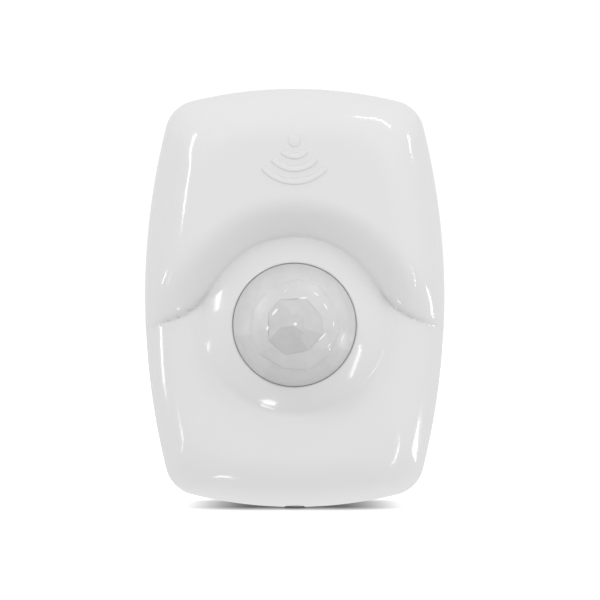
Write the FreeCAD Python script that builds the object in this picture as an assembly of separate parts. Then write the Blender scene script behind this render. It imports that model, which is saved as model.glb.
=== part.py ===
import FreeCAD, Part
import math
import os

# Wall-mounted passive infrared motion detector, in millimetres.
# The wall is the plane y = 0, the front of the detector looks along -Y, +Z is up.
# "Depth" everywhere below is the distance in front of the wall.

# ---- overall size -------------------------------------------------------
WIDTH = 73.5
HEIGHT = 102.5
SIDE_ARC = 172.0            # radius of the two long, slightly bowed sides
END_ARC = 106.0             # radius of the bowed top and bottom
CORNER = 8.5                # radius where a side meets an end

# ---- depths, counted outwards from the wall -----------------------------
PLATE = 2.0                 # thickness of the plate against the wall
SHADOW_GAP = 0.4            # line left open between plate and cover
RIM = PLATE + SHADOW_GAP    # the cover's rear edge
BOARD_REAR = PLATE + 7.0
BOARD = 1.6
BOARD_FRONT = BOARD_REAR + BOARD
LOWER = BOARD_FRONT + 8.0   # the thin lower body
LIP = LOWER + 4.6           # the collar's edge round the lens
HOOD = LOWER + 7.9          # the thick upper body
SEAT_DEPTH = LIP - 4.2      # the seat the lens flange presses on
SEAT_REAR = SEAT_DEPTH - 3.8
LENS_SPRING = LIP - 0.2     # where the dome starts
LENS_TOP = LIP + 11.8

# ---- back plate ---------------------------------------------------------
WALL = 2.0                  # moulded wall thickness of the cover
FIT = 0.6                   # cover wall to the plate's locating wall, at the rim
LOCATING = 1.5              # thickness of the locating wall
LOCATING_TOP = PLATE + 4.0
PLATE_BEVEL = 0.5
PLATE_RIB = 1.2
KNOCKOUT = 3.4              # thin ring that can be pushed out for a cable

# ---- lens opening -------------------------------------------------------
LENS_Z = -6.4               # the lens sits a little under the middle
APERTURE = 14.6             # radius of the opening in the cover
EYE = 34.0                  # radius of the ball-shaped collar
CREASE = 0.7                # softness of the line where the collar meets the body
SEAT = APERTURE + 4.2       # radius of the seat behind the opening
SEAT_WALL = 1.8             # wall of the short tube round the seat
LIP_BEVEL = 0.35

# ---- front skin ---------------------------------------------------------
ARCH = APERTURE + 6.0       # radius of the arch the hood makes over the lens
STEP = 10.5                 # width over which the hood drops to the lower body
BROW_ROUND = 0.65           # how nearly the drop is a quarter round, 0 to 1
WING_Z = LENS_Z + 4.4       # height of the hood's lower edge beside the lens
WING_SLOPE = 0.32
WING_X = 20.0
FLARE = 9.0                 # size of the blend from arch to wing
SHOULDER = 14.0             # width of the rounding along the cover's edge
CORNER_GROWTH = 0.45        # how fast the corners open up along the shoulder
CROWN_X = 0.0012            # bow of the front from side to side, per mm
CROWN_Z = 0.0009            # bow of the hood from top to bottom, per mm
HOOD_MIDDLE = 18.0
LOWER_TILT = 0.025          # lean of the lower body
ROUND_STEPS = 144
SHOULDER_STEPS = 10
FRONT_STEPS = 26

# ---- hooks and their pockets in the cover -------------------------------
HOOK_X = 9.0
HOOK_WIDE = 7.0
HOOK_REAR = RIM + 2.75
HOOK_THICK = 1.2
HOOK_REACH = 1.25           # how far the hook passes over the cover's wall
HOOK_PLAY = 0.35
POCKET_REAR = RIM + 1.6

# ---- cover screw, driven up into a boss on the plate --------------------
SCREW_DEPTH = PLATE + 3.9
SCREW_SHANK = 1.45
SCREW_HEAD = 2.1
SCREW_HEAD_THICK = 1.2
SCREW_LONG = 5.5
DRIVE_LONG = 2.6            # cross recess in the head
DRIVE_WIDE = 0.6
RECESS_HIGH = 2.3           # height of the pocket the head sits in
SEAT_GAP = 0.05             # head to the end of its pocket
SCREW_HEAD_LOW = -HEIGHT / 2 + RECESS_HIGH - SEAT_GAP - SCREW_HEAD_THICK
PAD_WIDE = 12.0
PAD_THICK = 3.9
PAD_IN = 0.9 * WALL         # where the pad starts inside the cover's wall
PAD_DEEP = PLATE + 8.0
BOSS_WIDE = 8.0
BOSS_LOW = -HEIGHT / 2 + PAD_THICK + 0.75
BOSS_FRONT = SCREW_DEPTH + 3.6
NOTCH_PLAY = 0.35
THREAD_PLAY = 0.03

# ---- wall fixings -------------------------------------------------------
WALL_HOLE = 2.1             # radius, for 4 mm wall screws
WALL_HOLE_UP = HEIGHT / 2 - 7.75
WALL_HOLE_DOWN = -HEIGHT / 2 + 11.75
WALL_HEAD_ROOM = 3.7        # radius kept free round each wall screw
CABLE_HOLE = 4.0
CABLE_X = WIDTH / 2 - 14.75
CABLE_Z = HEIGHT / 2 - 12.25

# ---- circuit board ------------------------------------------------------
BOARD_LOW = -HEIGHT / 2 + 16.25
BOARD_HIGH = HEIGHT / 2 - 12.25
BOARD_EDGE = 4.27           # the board's top corners to the bowed side of the cover
BOARD_HALF = WIDTH / 2 - SIDE_ARC + math.sqrt(SIDE_ARC**2 - BOARD_HIGH**2) - BOARD_EDGE
BOARD_NOTCH_X = CABLE_X - 6.5
BOARD_NOTCH_Z = CABLE_Z - 6.0
POST = 3.0
POST_IN = 4.5               # post centres to the board's edges
POST_X = BOARD_HALF - POST_IN
POSTS = [
    (-POST_X, BOARD_LOW + POST_IN),
    (POST_X, BOARD_LOW + POST_IN),
    (-POST_X, BOARD_HIGH - POST_IN),
    (POST_X, BOARD_NOTCH_Z - POST_IN - 1.0),
]
POST_SCREW = 1.05
POST_SCREW_LONG = 6.0
POST_SCREW_HEAD = 2.1
POST_SCREW_HEAD_THICK = 1.3
BOARD_HOLE_PLAY = 0.2

# ---- lens and its ring --------------------------------------------------
LENS_WALL = 0.8
LENS_GAP = 0.25             # lens to the edge of the opening
LENS = APERTURE - LENS_GAP
FLANGE = SEAT - 0.4
FLANGE_THICK = 1.2
RING_THICK = 1.6
RING_REAR = SEAT_DEPTH - FLANGE_THICK - RING_THICK
RING_INNER = APERTURE - 0.7
RING_OUTER = SEAT - 0.3
RING_NOTCH = 1.5
BEAD_THICK = 0.8            # snap beads that hold the ring
BEAD_REACH = 0.7
BEAD_SPREAD = 2.6

# ---- infrared sensor ----------------------------------------------------
SPACER_TOP = LIP - 6.4
CAN = 4.5
CAN_FLANGE = 4.95
CAN_FLANGE_THICK = 0.5
CAN_TOP = LIP - 2.2
WINDOW_WIDE = 4.0
WINDOW_HIGH = 3.0
WINDOW_THICK = 0.4
SENSOR_LEAD = 0.23
SENSOR_LEAD_CIRCLE = 2.54
LEAD_PLAY = 0.2
LEAD_REAR = BOARD_REAR - 0.9

# ---- indicator ----------------------------------------------------------
LED = 1.5
LED_COLLAR = 1.8
LED_X = CAN + 3.9
LED_TALL = 3.6

# ---- terminals ----------------------------------------------------------
POLES = 6
PITCH = 5.0
TERMINAL_X = BOARD_HALF - 24.0
TERMINAL_Z = BOARD_HIGH - 13.0
TERMINAL_HIGH = 8.0
TERMINAL_TOP = BOARD_FRONT + 10.0
TERMINAL_SHAFT = 1.9
TERMINAL_PIN = 0.5
ENTRY_WIDE = 3.8
ENTRY_REAR = BOARD_FRONT + 1.0
ENTRY_FRONT = BOARD_FRONT + 5.4
CAGE_PLAY = 0.1
CAGE_HIGH = 4.6
CLAMP_SCREW = 1.1
CLAMP_HEAD = 1.7

# ---- tamper switch ------------------------------------------------------
TAMPER_X = -BOARD_HALF + 6.0
TAMPER_Z = BOARD_LOW + 15.0
TAMPER_BODY = 6.2
TAMPER_TALL = 3.5
TAMPER_SKIN = 0.5           # wall over and under the plunger's chamber
PLUNGER = 1.6
PLUNGER_FOOT = 2.1
PLUNGER_FOOT_THICK = 0.5
PLUNGER_PLAY = 0.08
PLUNGER_TRAVEL = 1.5
PLUNGER_TIP = BOARD_FRONT + TAMPER_TALL + 1.1
FOOT_FRONT = BOARD_FRONT + TAMPER_TALL - TAMPER_SKIN - PLUNGER_TRAVEL - 0.1
COIL_OUTER = 1.5
COIL_INNER = 1.1
TAMPER_POST = 2.0
TAMPER_GAP = 0.3

# ---- trimmers and jumpers -----------------------------------------------
TRIMMER_X = BOARD_HALF - 6.0
TRIMMER_ZS = {"range": LENS_Z + 14.4, "timer": LENS_Z + 22.4}
TRIMMER_BODY = 6.8
TRIMMER_TALL = 4.2
TRIMMER_FLOOR = 1.2
ROTOR = 2.3
ROTOR_PLAY = 0.08
ROTOR_RISE = 0.4
SLOT_WIDE = 0.7
SLOT_DEEP = 0.7
JUMPER_Z = TERMINAL_Z - 1.0
JUMPER_FIRST = TERMINAL_X - POLES * PITCH / 2 - 4.2
JUMPER_XS = {"pulse": JUMPER_FIRST - 5.2, "led": JUMPER_FIRST}
JUMPER_PITCH = 2.54
JUMPER_BASE_TALL = 2.5
JUMPER_CAP_TALL = 5.0
JUMPER_SLIM = 0.1
PIN_HALF = 0.32
PIN_SHORT = 0.4             # pin tip under the top of its cap
PIN_PLAY = 0.04

# ---- small parts on the board: x, z, width, height ----------------------
PROCESSOR = (-8.0, BOARD_LOW + 9.0, 10.0, 4.0)
AMPLIFIER = (8.0, LENS_Z + 16.9, 5.0, 4.0)
CHIP_LOW = BOARD_FRONT + 0.15
CHIP_TALL = 1.5
LEG_PITCH = 1.27
LEG_WIDE = 0.4
LEG_THICK = 0.2
RELAY = (-BOARD_HALF + 5.5, LENS_Z + 17.4, 6.0, 18.0)
RELAY_TALL = 4.6
CAPACITOR_PLACES = [(BOARD_HALF - 14.0, BOARD_LOW + 9.0), (BOARD_HALF - 6.5, BOARD_LOW + 16.0)]
CAPACITOR_FOOT = 6.6
CAPACITOR_BODY = 3.1
CAPACITOR_FOOT_TALL = 1.0
CAPACITOR_ROOM = 0.15       # can tops to the inside of the cover at the board's edge
CAPACITOR_TOP = LOWER - WALL - CROWN_X * BOARD_HALF**2 - CAPACITOR_ROOM
DIODE = (-4.0, TERMINAL_Z - 8.0, 4.4, 2.6)
CHIP_PART_WIDE = 2.0
CHIP_PART_HIGH = 1.25

# ---- cover mark ---------------------------------------------------------
MARK_Z = HEIGHT / 2 - 14.4
MARK_RISE = 0.35
MARK_ROOT = HOOD - 0.6 * WALL
MARK_DOT = 1.3
MARK_BAND = 1.1
MARK_RADII = [3.6, 6.6, 9.6]
MARK_HALF_ANGLE = 52.0

OUT = -FreeCAD.Vector(0, 1, 0)     # the way out of the wall


def at(x, depth, z):
    return FreeCAD.Vector(x, -depth, z)


def rod(x, z, near, far, radius):
    """Round bar standing out from the wall between two depths."""
    return Part.makeCylinder(radius, far - near, at(x, near, z), OUT)


def ring(x, z, near, far, outer, inner):
    return rod(x, z, near, far, outer).cut(rod(x, z, near, far, inner))


def block(x, z, near, far, wide, high):
    """Box centred on x and z between two depths."""
    return Part.makeBox(wide, far - near, high, at(x - wide / 2, far, z - high / 2))


def chamfered(shape, size, facing=-1):
    """Bevel the straight edges of the face that looks out of the wall (-1) or at it (+1)."""
    plane = shape.BoundBox.YMin if facing < 0 else shape.BoundBox.YMax
    edges = []
    for edge in shape.Edges:
        if max(abs(edge.BoundBox.YMin - plane), abs(edge.BoundBox.YMax - plane)) < 1e-6:
            edges.append(edge)
    return shape.makeChamfer(size, edges)


def joined(shapes):
    first, rest = shapes[0], shapes[1:]
    return first.fuse(rest).removeSplitter() if rest else first


def save(name, shape):
    shape.exportStep(os.path.join("parts", name + ".step"))


# ---- the outline: two side arcs, two end arcs, four corners -------------

SIDE_CENTRE = WIDTH / 2 - SIDE_ARC
END_CENTRE = HEIGHT / 2 - END_ARC


def corner_centre(inset, corner):
    """Centre of the upper right corner arc, touching a side and an end arc drawn in by inset."""
    a = SIDE_ARC - inset - corner
    b = END_ARC - inset - corner
    gap = math.hypot(SIDE_CENTRE, END_CENTRE)
    along = (a * a - b * b + gap * gap) / (2 * gap)
    across = math.sqrt(a * a - along * along)
    ux = -SIDE_CENTRE / gap
    uz = END_CENTRE / gap
    return SIDE_CENTRE + ux * along - uz * across, uz * along + ux * across


def outline(inset, corner):
    """The closed outline as a wire in the wall plane."""
    cx, cz = corner_centre(inset, corner)
    side_angle = math.atan2(cz, cx - SIDE_CENTRE)
    end_angle = math.atan2(cz - END_CENTRE, cx)
    side_x = SIDE_CENTRE + (SIDE_ARC - inset) * math.cos(side_angle)
    side_z = (SIDE_ARC - inset) * math.sin(side_angle)
    end_x = (END_ARC - inset) * math.cos(end_angle)
    end_z = END_CENTRE + (END_ARC - inset) * math.sin(end_angle)
    middle = (side_angle + end_angle) / 2
    mid_x = cx + corner * math.cos(middle)
    mid_z = cz + corner * math.sin(middle)
    half_wide = WIDTH / 2 - inset
    half_high = HEIGHT / 2 - inset
    arcs = []
    for sx, sz in ((1, 1), (-1, 1), (-1, -1), (1, -1)):
        arcs.append([(sx * side_x, sz * side_z), (sx * mid_x, sz * mid_z), (sx * end_x, sz * end_z)])
    for s in (1, -1):
        arcs.append([(s * side_x, -side_z), (s * half_wide, 0), (s * side_x, side_z)])
        arcs.append([(-end_x, s * end_z), (0, s * half_high), (end_x, s * end_z)])
    edges = [Part.Arc(*[at(x, 0, z) for x, z in arc]).toShape() for arc in arcs]
    return Part.Wire(Part.__sortEdges__(edges))


def slab(inset, near, far):
    """The outline drawn in by inset, as a solid between two depths."""
    face = Part.Face(outline(inset, CORNER - inset))
    solid = face.extrude(OUT * (far - near))
    solid.translate(OUT * near)
    return solid


def wall_band(outer, inner, near, far):
    return slab(outer, near, far).cut(slab(inner, near - 1, far + 1))


# ---- the cover's skin ---------------------------------------------------


def leave_circle(dx, dz, cx, cz, radius):
    """How far a ray from the lens centre runs before it leaves a circle."""
    fx = -cx
    fz = LENS_Z - cz
    b = fx * dx + fz * dz
    disc = b * b - (fx * fx + fz * fz - radius * radius)
    return math.sqrt(disc) - b if disc > 0 else None


def outline_point(angle, inset, corner):
    """Where a ray from the lens centre meets the outline drawn in by inset."""
    dx = math.cos(angle)
    dz = math.sin(angle)
    cx, cz = corner_centre(inset, corner)
    side_angle = math.atan2(cz, cx - SIDE_CENTRE)
    end_angle = math.atan2(cz - END_CENTRE, cx)
    across = 1 if dx >= 0 else -1
    for up in (1, -1):
        far = leave_circle(dx, dz, across * cx, up * cz, corner)
        if far is not None:
            turn = math.atan2((LENS_Z + dz * far) * up - cz, dx * far * across - cx)
            if side_angle <= turn <= end_angle:
                return dx * far, LENS_Z + dz * far
    reaches = []
    for s in (1, -1):
        reaches.append(leave_circle(dx, dz, s * SIDE_CENTRE, 0, SIDE_ARC - inset))
        reaches.append(leave_circle(dx, dz, 0, s * END_CENTRE, END_ARC - inset))
    far = min(reaches)
    return dx * far, LENS_Z + dz * far


def evenly_spaced_angles():
    """Angles that share the outline out into equal lengths, starting at the bottom."""
    fine = ROUND_STEPS * 20
    angles = [2 * math.pi * k / fine - math.pi / 2 for k in range(fine + 1)]
    points = [outline_point(a, 0, CORNER) for a in angles]
    run = [0.0]
    for p, q in zip(points, points[1:]):
        run.append(run[-1] + math.hypot(q[0] - p[0], q[1] - p[1]))
    chosen = []
    k = 0
    for step in range(ROUND_STEPS):
        goal = run[-1] * step / ROUND_STEPS
        while run[k + 1] < goal:
            k += 1
        share = (goal - run[k]) / (run[k + 1] - run[k])
        chosen.append(angles[k] + share * (angles[k + 1] - angles[k]))
    return chosen


def smooth_min(a, b, size):
    near = max(size - abs(a - b), 0) / size
    return min(a, b) - near * near * size / 4


def brow(share):
    """0 under the hood, 1 on it: rounded at the top, steep at its inner edge."""
    t = min(1.0, max(0.0, share))
    eased = t * t * t * (t * (6 * t - 15) + 10)
    return (1 - BROW_ROUND) * eased + BROW_ROUND * math.sqrt(1 - (1 - t) ** 2)


def body_depth(x, z, thinner):
    """Depth of the hood and lower body; thinner draws the skin in for its inside face."""
    from_lens = math.hypot(x, z - LENS_Z)
    soft_x = math.sqrt(x * x + 9.0)
    wing = z - (WING_Z + 0.8 * thinner - WING_SLOPE * (soft_x - WING_X))
    wing = wing / math.hypot(1, WING_SLOPE)
    step = brow(smooth_min(from_lens - ARCH - 0.8 * thinner, wing, FLARE) / STEP)
    upper = HOOD - thinner - CROWN_X * x * x - CROWN_Z * (z - HOOD_MIDDLE) ** 2
    lower = LOWER - thinner - CROWN_X * x * x - LOWER_TILT * (z + 10)
    return lower + (upper - lower) * step


def ball_depth(x, z, ball, edge, edge_depth):
    """Depth of a ball-shaped collar that passes through a circle of radius edge."""
    from_lens = min(math.hypot(x, z - LENS_Z), 0.98 * ball)
    return edge_depth + math.sqrt(ball ** 2 - from_lens ** 2) - math.sqrt(ball ** 2 - edge ** 2)


def outer_depth(x, z):
    return -smooth_min(-body_depth(x, z, 0), -ball_depth(x, z, EYE, APERTURE, LIP), CREASE)


def inner_depth(x, z):
    ball = ball_depth(x, z, EYE - WALL, SEAT + SEAT_WALL / 2, SEAT_DEPTH)
    return -smooth_min(-body_depth(x, z, WALL), -ball, 0.6 * WALL)


def skin_rows(depth, start, end_radius, raised):
    """Rings of points from the rim, over the shoulder, across the front to the round opening."""
    angles = evenly_spaced_angles()
    rows = []
    for i in range(SHOULDER_STEPS + 1):
        bend = math.pi / 2 * i / SHOULDER_STEPS
        turn = 1 - math.cos(bend)
        inset = start + (SHOULDER - start) * turn
        corner = CORNER - start + (CORNER_GROWTH * SHOULDER + start) * turn
        row = []
        for angle in angles:
            x, z = outline_point(angle, inset, corner)
            row.append(at(x, RIM + (depth(x, z) + raised - RIM) * math.sin(bend), z))
        rows.append(row)
    for i in range(1, FRONT_STEPS + 1):
        t = i / FRONT_STEPS
        row = []
        for angle, edge in zip(angles, rows[SHOULDER_STEPS]):
            x = edge.x * (1 - t) + end_radius * math.cos(angle) * t
            z = edge.z * (1 - t) + (LENS_Z + end_radius * math.sin(angle)) * t
            row.append(at(x, depth(x, z) + raised, z))
        rows.append(row)
    return rows


def poles_round(row):
    """Control points that carry a closed smooth curve through a ring of points."""
    n = len(row)
    return [(row[k] * 8 - row[k - 1] - row[(k + 1) % n]) * (1 / 6) for k in range(n)]


def poles_across(line):
    """Control points for an open line of points, with both ends on the line's ends."""
    inner = [(line[j] * 8 - line[j - 1] - line[j + 1]) * (1 / 6) for j in range(1, len(line) - 1)]
    first = (line[1] * 18 - line[0] * 11 - line[2] * 9 + line[3] * 2) * (1 / 6)
    last = (line[-1] * 11 - line[-2] * 18 + line[-3] * 9 - line[-4] * 2) * (1 / 6)
    return [line[0], line[0] + first * (1 / 3)] + inner + [line[-1] - last * (1 / 3), line[-1]]


def skin_solid(depth, start, end_radius, raised=0.0):
    """Closed solid under a skin, flat at the rim and flat at the round opening."""
    rows = [poles_round(row) for row in skin_rows(depth, start, end_radius, raised)]
    columns = [poles_across([row[k] for row in rows]) for k in range(ROUND_STEPS)]
    count = len(rows)
    surface = Part.BSplineSurface()
    surface.buildFromPolesMultsKnots(
        columns,
        [1] * (ROUND_STEPS + 1),
        [4] + [1] * (count - 2) + [4],
        list(range(ROUND_STEPS + 1)),
        list(range(count)),
        True,
        False,
        3,
        3,
    )
    skin = surface.toShape()
    caps = [Part.Face(Part.Wire([e])) for e in skin.Edges if e.isClosed()]
    shell = Part.Shell([skin] + caps)
    shell.sewShape()
    solid = Part.Solid(shell)
    if solid.Volume < 0:
        solid.reverse()
    return solid


# ---- back plate ---------------------------------------------------------


def hook_column(x):
    """The slice of the housing that one hook or its pocket may use."""
    return block(x, HEIGHT / 2, 0, LOCATING_TOP * 2, HOOK_WIDE, HEIGHT / 4)


def back_plate():
    plate = chamfered(slab(0, 0, PLATE), PLATE_BEVEL, 1)
    inset = WALL + FIT
    inner = inset + LOCATING
    wall = wall_band(inset, inner, PLATE, LOCATING_TOP)
    gap_wide = PAD_WIDE + 2
    wall = wall.cut(block(0, -HEIGHT / 2, PLATE, LOCATING_TOP + 1, gap_wide, HEIGHT / 4))
    solids = [plate, wall]
    lip_inset = WALL - HOOK_REACH + FIT
    for x in (-HOOK_X, HOOK_X):
        arm = wall_band(inset, inner, PLATE, HOOK_REAR + HOOK_THICK)
        lip = wall_band(lip_inset, inner, HOOK_REAR, HOOK_REAR + HOOK_THICK)
        solids.append(arm.common(hook_column(x)))
        solids.append(lip.common(hook_column(x)))
    for x, z in POSTS:
        solids.append(rod(x, z, PLATE, BOARD_REAR, POST))
    boss_high = WALL_HOLE_DOWN - WALL_HEAD_ROOM
    boss = block(0, (BOSS_LOW + boss_high) / 2, PLATE, BOSS_FRONT, BOSS_WIDE, boss_high - BOSS_LOW)
    solids.append(boss)
    for z in (BOARD_LOW + 13.0, BOARD_HIGH - 19.0):
        solids.append(block(0, z, PLATE, PLATE + PLATE_RIB, 2 * POST_X, PLATE_RIB))
    body = joined(solids)
    for x, z in POSTS:
        body = body.cut(rod(x, z, BOARD_FRONT - POST_SCREW_LONG - 0.3, BOARD_REAR, POST_SCREW + THREAD_PLAY))
    for z in (WALL_HOLE_UP, WALL_HOLE_DOWN):
        body = body.cut(rod(0, z, -1, PLATE + 3, WALL_HOLE))
    body = body.cut(rod(CABLE_X, CABLE_Z, -1, PLATE + 1, CABLE_HOLE))
    bore = Part.makeCylinder(SCREW_SHANK + THREAD_PLAY, SCREW_LONG * 2, at(0, SCREW_DEPTH, -HEIGHT / 2))
    body = body.cut(bore)
    for x in (16.75 - WIDTH / 2, WIDTH / 2 - 16.75):
        body = body.cut(ring(x, 11.25 - HEIGHT / 2, -1, PLATE - 0.8, KNOCKOUT, KNOCKOUT - 0.6))
    return body


# ---- front cover --------------------------------------------------------


def mark_shapes():
    """A dot with three arcs spreading under it, the sign for a watched field."""
    z = MARK_Z
    shapes = [rod(0, z, MARK_ROOT, HOOD + 2, MARK_DOT)]
    for radius in MARK_RADII:
        band = ring(0, z, MARK_ROOT, HOOD + 2, radius + MARK_BAND / 2, radius - MARK_BAND / 2)
        reach = 2 * MARK_RADII[-1]
        spread = math.radians(MARK_HALF_ANGLE)
        left = at(-reach * math.sin(spread), MARK_ROOT - 1, z - reach * math.cos(spread))
        right = at(reach * math.sin(spread), MARK_ROOT - 1, z - reach * math.cos(spread))
        tip = at(0, MARK_ROOT - 1, z)
        fan = Part.Face(Part.makePolygon([tip, left, right, tip])).extrude(OUT * 2 * MARK_DOT * WALL)
        shapes.append(band.common(fan))
    return shapes


def front_cover():
    outer = skin_solid(outer_depth, 0, APERTURE)
    cover = outer.cut(skin_solid(inner_depth, WALL, SEAT + SEAT_WALL / 2))
    opening = [(0, SEAT_DEPTH - 1), (APERTURE, SEAT_DEPTH - 1), (APERTURE, LIP - LIP_BEVEL)]
    opening += [(APERTURE + LIP_BEVEL + 1, LIP + 1), (0, LIP + 1)]
    cover = cover.cut(turned(opening))
    extras = []
    extras.append(ring(0, LENS_Z, SEAT_REAR, SEAT_DEPTH + 0.1, SEAT + SEAT_WALL, SEAT))
    for turn in (90, 210, 330):
        x = SEAT * math.cos(math.radians(turn))
        z = LENS_Z + SEAT * math.sin(math.radians(turn))
        bead = ring(0, LENS_Z, RING_REAR - BEAD_THICK, RING_REAR, SEAT + 0.3, SEAT - BEAD_REACH)
        extras.append(bead.common(rod(x, z, SEAT_REAR, SEAT_DEPTH, BEAD_SPREAD)))
    pad_low = -HEIGHT / 2 + PAD_IN
    pad_high = -HEIGHT / 2 + PAD_THICK
    extras.append(block(0, (pad_low + pad_high) / 2, RIM, PAD_DEEP, PAD_WIDE, pad_high - pad_low))
    post_root = inner_depth(TAMPER_X, TAMPER_Z) + WALL / 2
    extras.append(rod(TAMPER_X, TAMPER_Z, PLUNGER_TIP + TAMPER_GAP, post_root, TAMPER_POST))
    raised = skin_solid(outer_depth, 0, APERTURE, MARK_RISE)
    for shape in mark_shapes():
        extras.append(shape.common(raised))
    cover = cover.fuse(extras)
    roof = WALL - HOOK_REACH + FIT - HOOK_PLAY
    pocket = slab(roof, POCKET_REAR, HOOK_REAR + HOOK_THICK + HOOK_PLAY)
    for x in (-HOOK_X, HOOK_X):
        column = block(x, HEIGHT / 2, 0, LOCATING_TOP * 2, HOOK_WIDE + 2 * HOOK_PLAY, HEIGHT / 8)
        cover = cover.cut(pocket.common(column))
    bottom = -HEIGHT / 2
    for radius, top in ((SCREW_SHANK + NOTCH_PLAY, PAD_THICK + 1), (SCREW_HEAD + NOTCH_PLAY, RECESS_HIGH)):
        slot = Part.makeBox(2 * radius, SCREW_DEPTH, top + 1, at(-radius, SCREW_DEPTH, bottom - 1))
        end = Part.makeCylinder(radius, top + 1, at(0, SCREW_DEPTH, bottom - 1))
        cover = cover.cut(slot.fuse(end))
    return cover


# ---- lens ---------------------------------------------------------------


def turned(profile):
    """Solid turned about the lens axis from (radius, depth) corners."""
    points = [at(r, d, LENS_Z) for r, d in profile]
    face = Part.Face(Part.makePolygon(points + [points[0]]))
    return face.revolve(at(0, 0, LENS_Z), OUT, 360)


def half_dome(radius, top):
    """Half ellipsoid from the depth where the dome starts up to its top."""
    rise = top - LENS_SPRING
    quarter = []
    for i in range(3):
        bend = math.pi / 4 * i
        quarter.append(at(radius * math.cos(bend), LENS_SPRING + rise * math.sin(bend), LENS_Z))
    major, minor = max(radius, rise), min(radius, rise)
    centre = at(0, LENS_SPRING, LENS_Z)
    if radius >= rise:
        ellipse = Part.Ellipse(at(radius, LENS_SPRING, LENS_Z), at(0, top, LENS_Z), centre)
    else:
        ellipse = Part.Ellipse(at(0, top, LENS_Z), at(radius, LENS_SPRING, LENS_Z), centre)
    first = ellipse.parameter(quarter[0])
    last = ellipse.parameter(quarter[2])
    middle = ellipse.parameter(quarter[1])
    if not min(first, last) < middle < max(first, last):
        if first > last:
            last += 2 * math.pi
        else:
            first += 2 * math.pi
    arc = Part.Edge(ellipse, min(first, last), max(first, last))
    lines = [Part.makeLine(quarter[2], centre), Part.makeLine(centre, quarter[0])]
    face = Part.Face(Part.Wire(Part.__sortEdges__([arc] + lines)))
    return face.revolve(centre, OUT, 360)


def fresnel_lens():
    flange_rear = SEAT_DEPTH - FLANGE_THICK
    outside = joined([
        rod(0, LENS_Z, flange_rear, SEAT_DEPTH, FLANGE),
        rod(0, LENS_Z, flange_rear, LENS_SPRING, LENS),
        half_dome(LENS, LENS_TOP),
    ])
    inside = joined([
        rod(0, LENS_Z, flange_rear - 1, LENS_SPRING, LENS - LENS_WALL),
        half_dome(LENS - LENS_WALL, LENS_TOP - LENS_WALL),
    ])
    return outside.cut(inside)


def lens_retainer():
    front = RING_REAR + RING_THICK
    body = ring(0, LENS_Z, RING_REAR, front, RING_OUTER, RING_INNER)
    for turn in (30, 150, 270):
        x = RING_OUTER * math.cos(math.radians(turn))
        z = LENS_Z + RING_OUTER * math.sin(math.radians(turn))
        body = body.cut(rod(x, z, RING_REAR - 1, front + 1, RING_NOTCH))
    return body


# ---- screws -------------------------------------------------------------


def cover_screw():
    head_low = SCREW_HEAD_LOW
    head = Part.makeCylinder(SCREW_HEAD, SCREW_HEAD_THICK, at(0, SCREW_DEPTH, head_low))
    head = head.makeFillet(0.35, [e for e in head.Edges if abs(e.BoundBox.ZMax - head_low) < 1e-6])
    shank = Part.makeCylinder(SCREW_SHANK, SCREW_LONG, at(0, SCREW_DEPTH, head_low + SCREW_HEAD_THICK))
    body = head.fuse(shank)
    for wide, deep in ((DRIVE_LONG, DRIVE_WIDE), (DRIVE_WIDE, DRIVE_LONG)):
        body = body.cut(Part.makeBox(wide, deep, DRIVE_WIDE, at(-wide / 2, SCREW_DEPTH + deep / 2, head_low)))
    return body


def board_screw(x, z):
    head_top = BOARD_FRONT + POST_SCREW_HEAD_THICK
    head = rod(x, z, BOARD_FRONT, head_top, POST_SCREW_HEAD)
    head = head.makeFillet(0.4, [e for e in head.Edges if abs(e.BoundBox.YMax + head_top) < 1e-6])
    body = head.fuse(rod(x, z, BOARD_FRONT - POST_SCREW_LONG, BOARD_FRONT, POST_SCREW))
    for wide, high in ((2.4, 0.5), (0.5, 2.4)):
        body = body.cut(block(x, z, head_top - 0.6, head_top + 1, wide, high))
    return body


# ---- circuit board and what it carries ----------------------------------


def sensor_lead_places():
    places = []
    for turn in (45, 135, 270):
        x = SENSOR_LEAD_CIRCLE * math.cos(math.radians(turn))
        places.append((x, LENS_Z + SENSOR_LEAD_CIRCLE * math.sin(math.radians(turn))))
    return places


def terminal_xs():
    return [TERMINAL_X + PITCH * (i - (POLES - 1) / 2) for i in range(POLES)]


def jumper_pin_places():
    return [(x, JUMPER_Z + s * JUMPER_PITCH / 2) for x in JUMPER_XS.values() for s in (-1, 1)]


def circuit_board():
    high = BOARD_HIGH - BOARD_LOW
    board = block(0, (BOARD_HIGH + BOARD_LOW) / 2, BOARD_REAR, BOARD_FRONT, 2 * BOARD_HALF, high)
    notch = block(BOARD_NOTCH_X + 25, BOARD_NOTCH_Z + 25, BOARD_REAR - 1, BOARD_FRONT + 1, 50, 50)
    board = board.cut(notch)
    holes = [rod(x, z, BOARD_REAR, BOARD_FRONT, POST_SCREW + BOARD_HOLE_PLAY) for x, z in POSTS]
    for x, z in sensor_lead_places():
        holes.append(rod(x, z, BOARD_REAR, BOARD_FRONT, SENSOR_LEAD + LEAD_PLAY))
    for x in terminal_xs():
        holes.append(rod(x, TERMINAL_Z, BOARD_REAR, BOARD_FRONT, 0.5 + LEAD_PLAY))
    for x, z in jumper_pin_places():
        holes.append(rod(x, z, BOARD_REAR, BOARD_FRONT, PIN_HALF * 1.415 + 0.1))
    return board.cut(holes)


def pir_spacer():
    body = rod(0, LENS_Z, BOARD_FRONT, SPACER_TOP, CAN_FLANGE)
    for x, z in sensor_lead_places():
        body = body.cut(rod(x, z, BOARD_FRONT, SPACER_TOP, SENSOR_LEAD + LEAD_PLAY))
    return body


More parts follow.
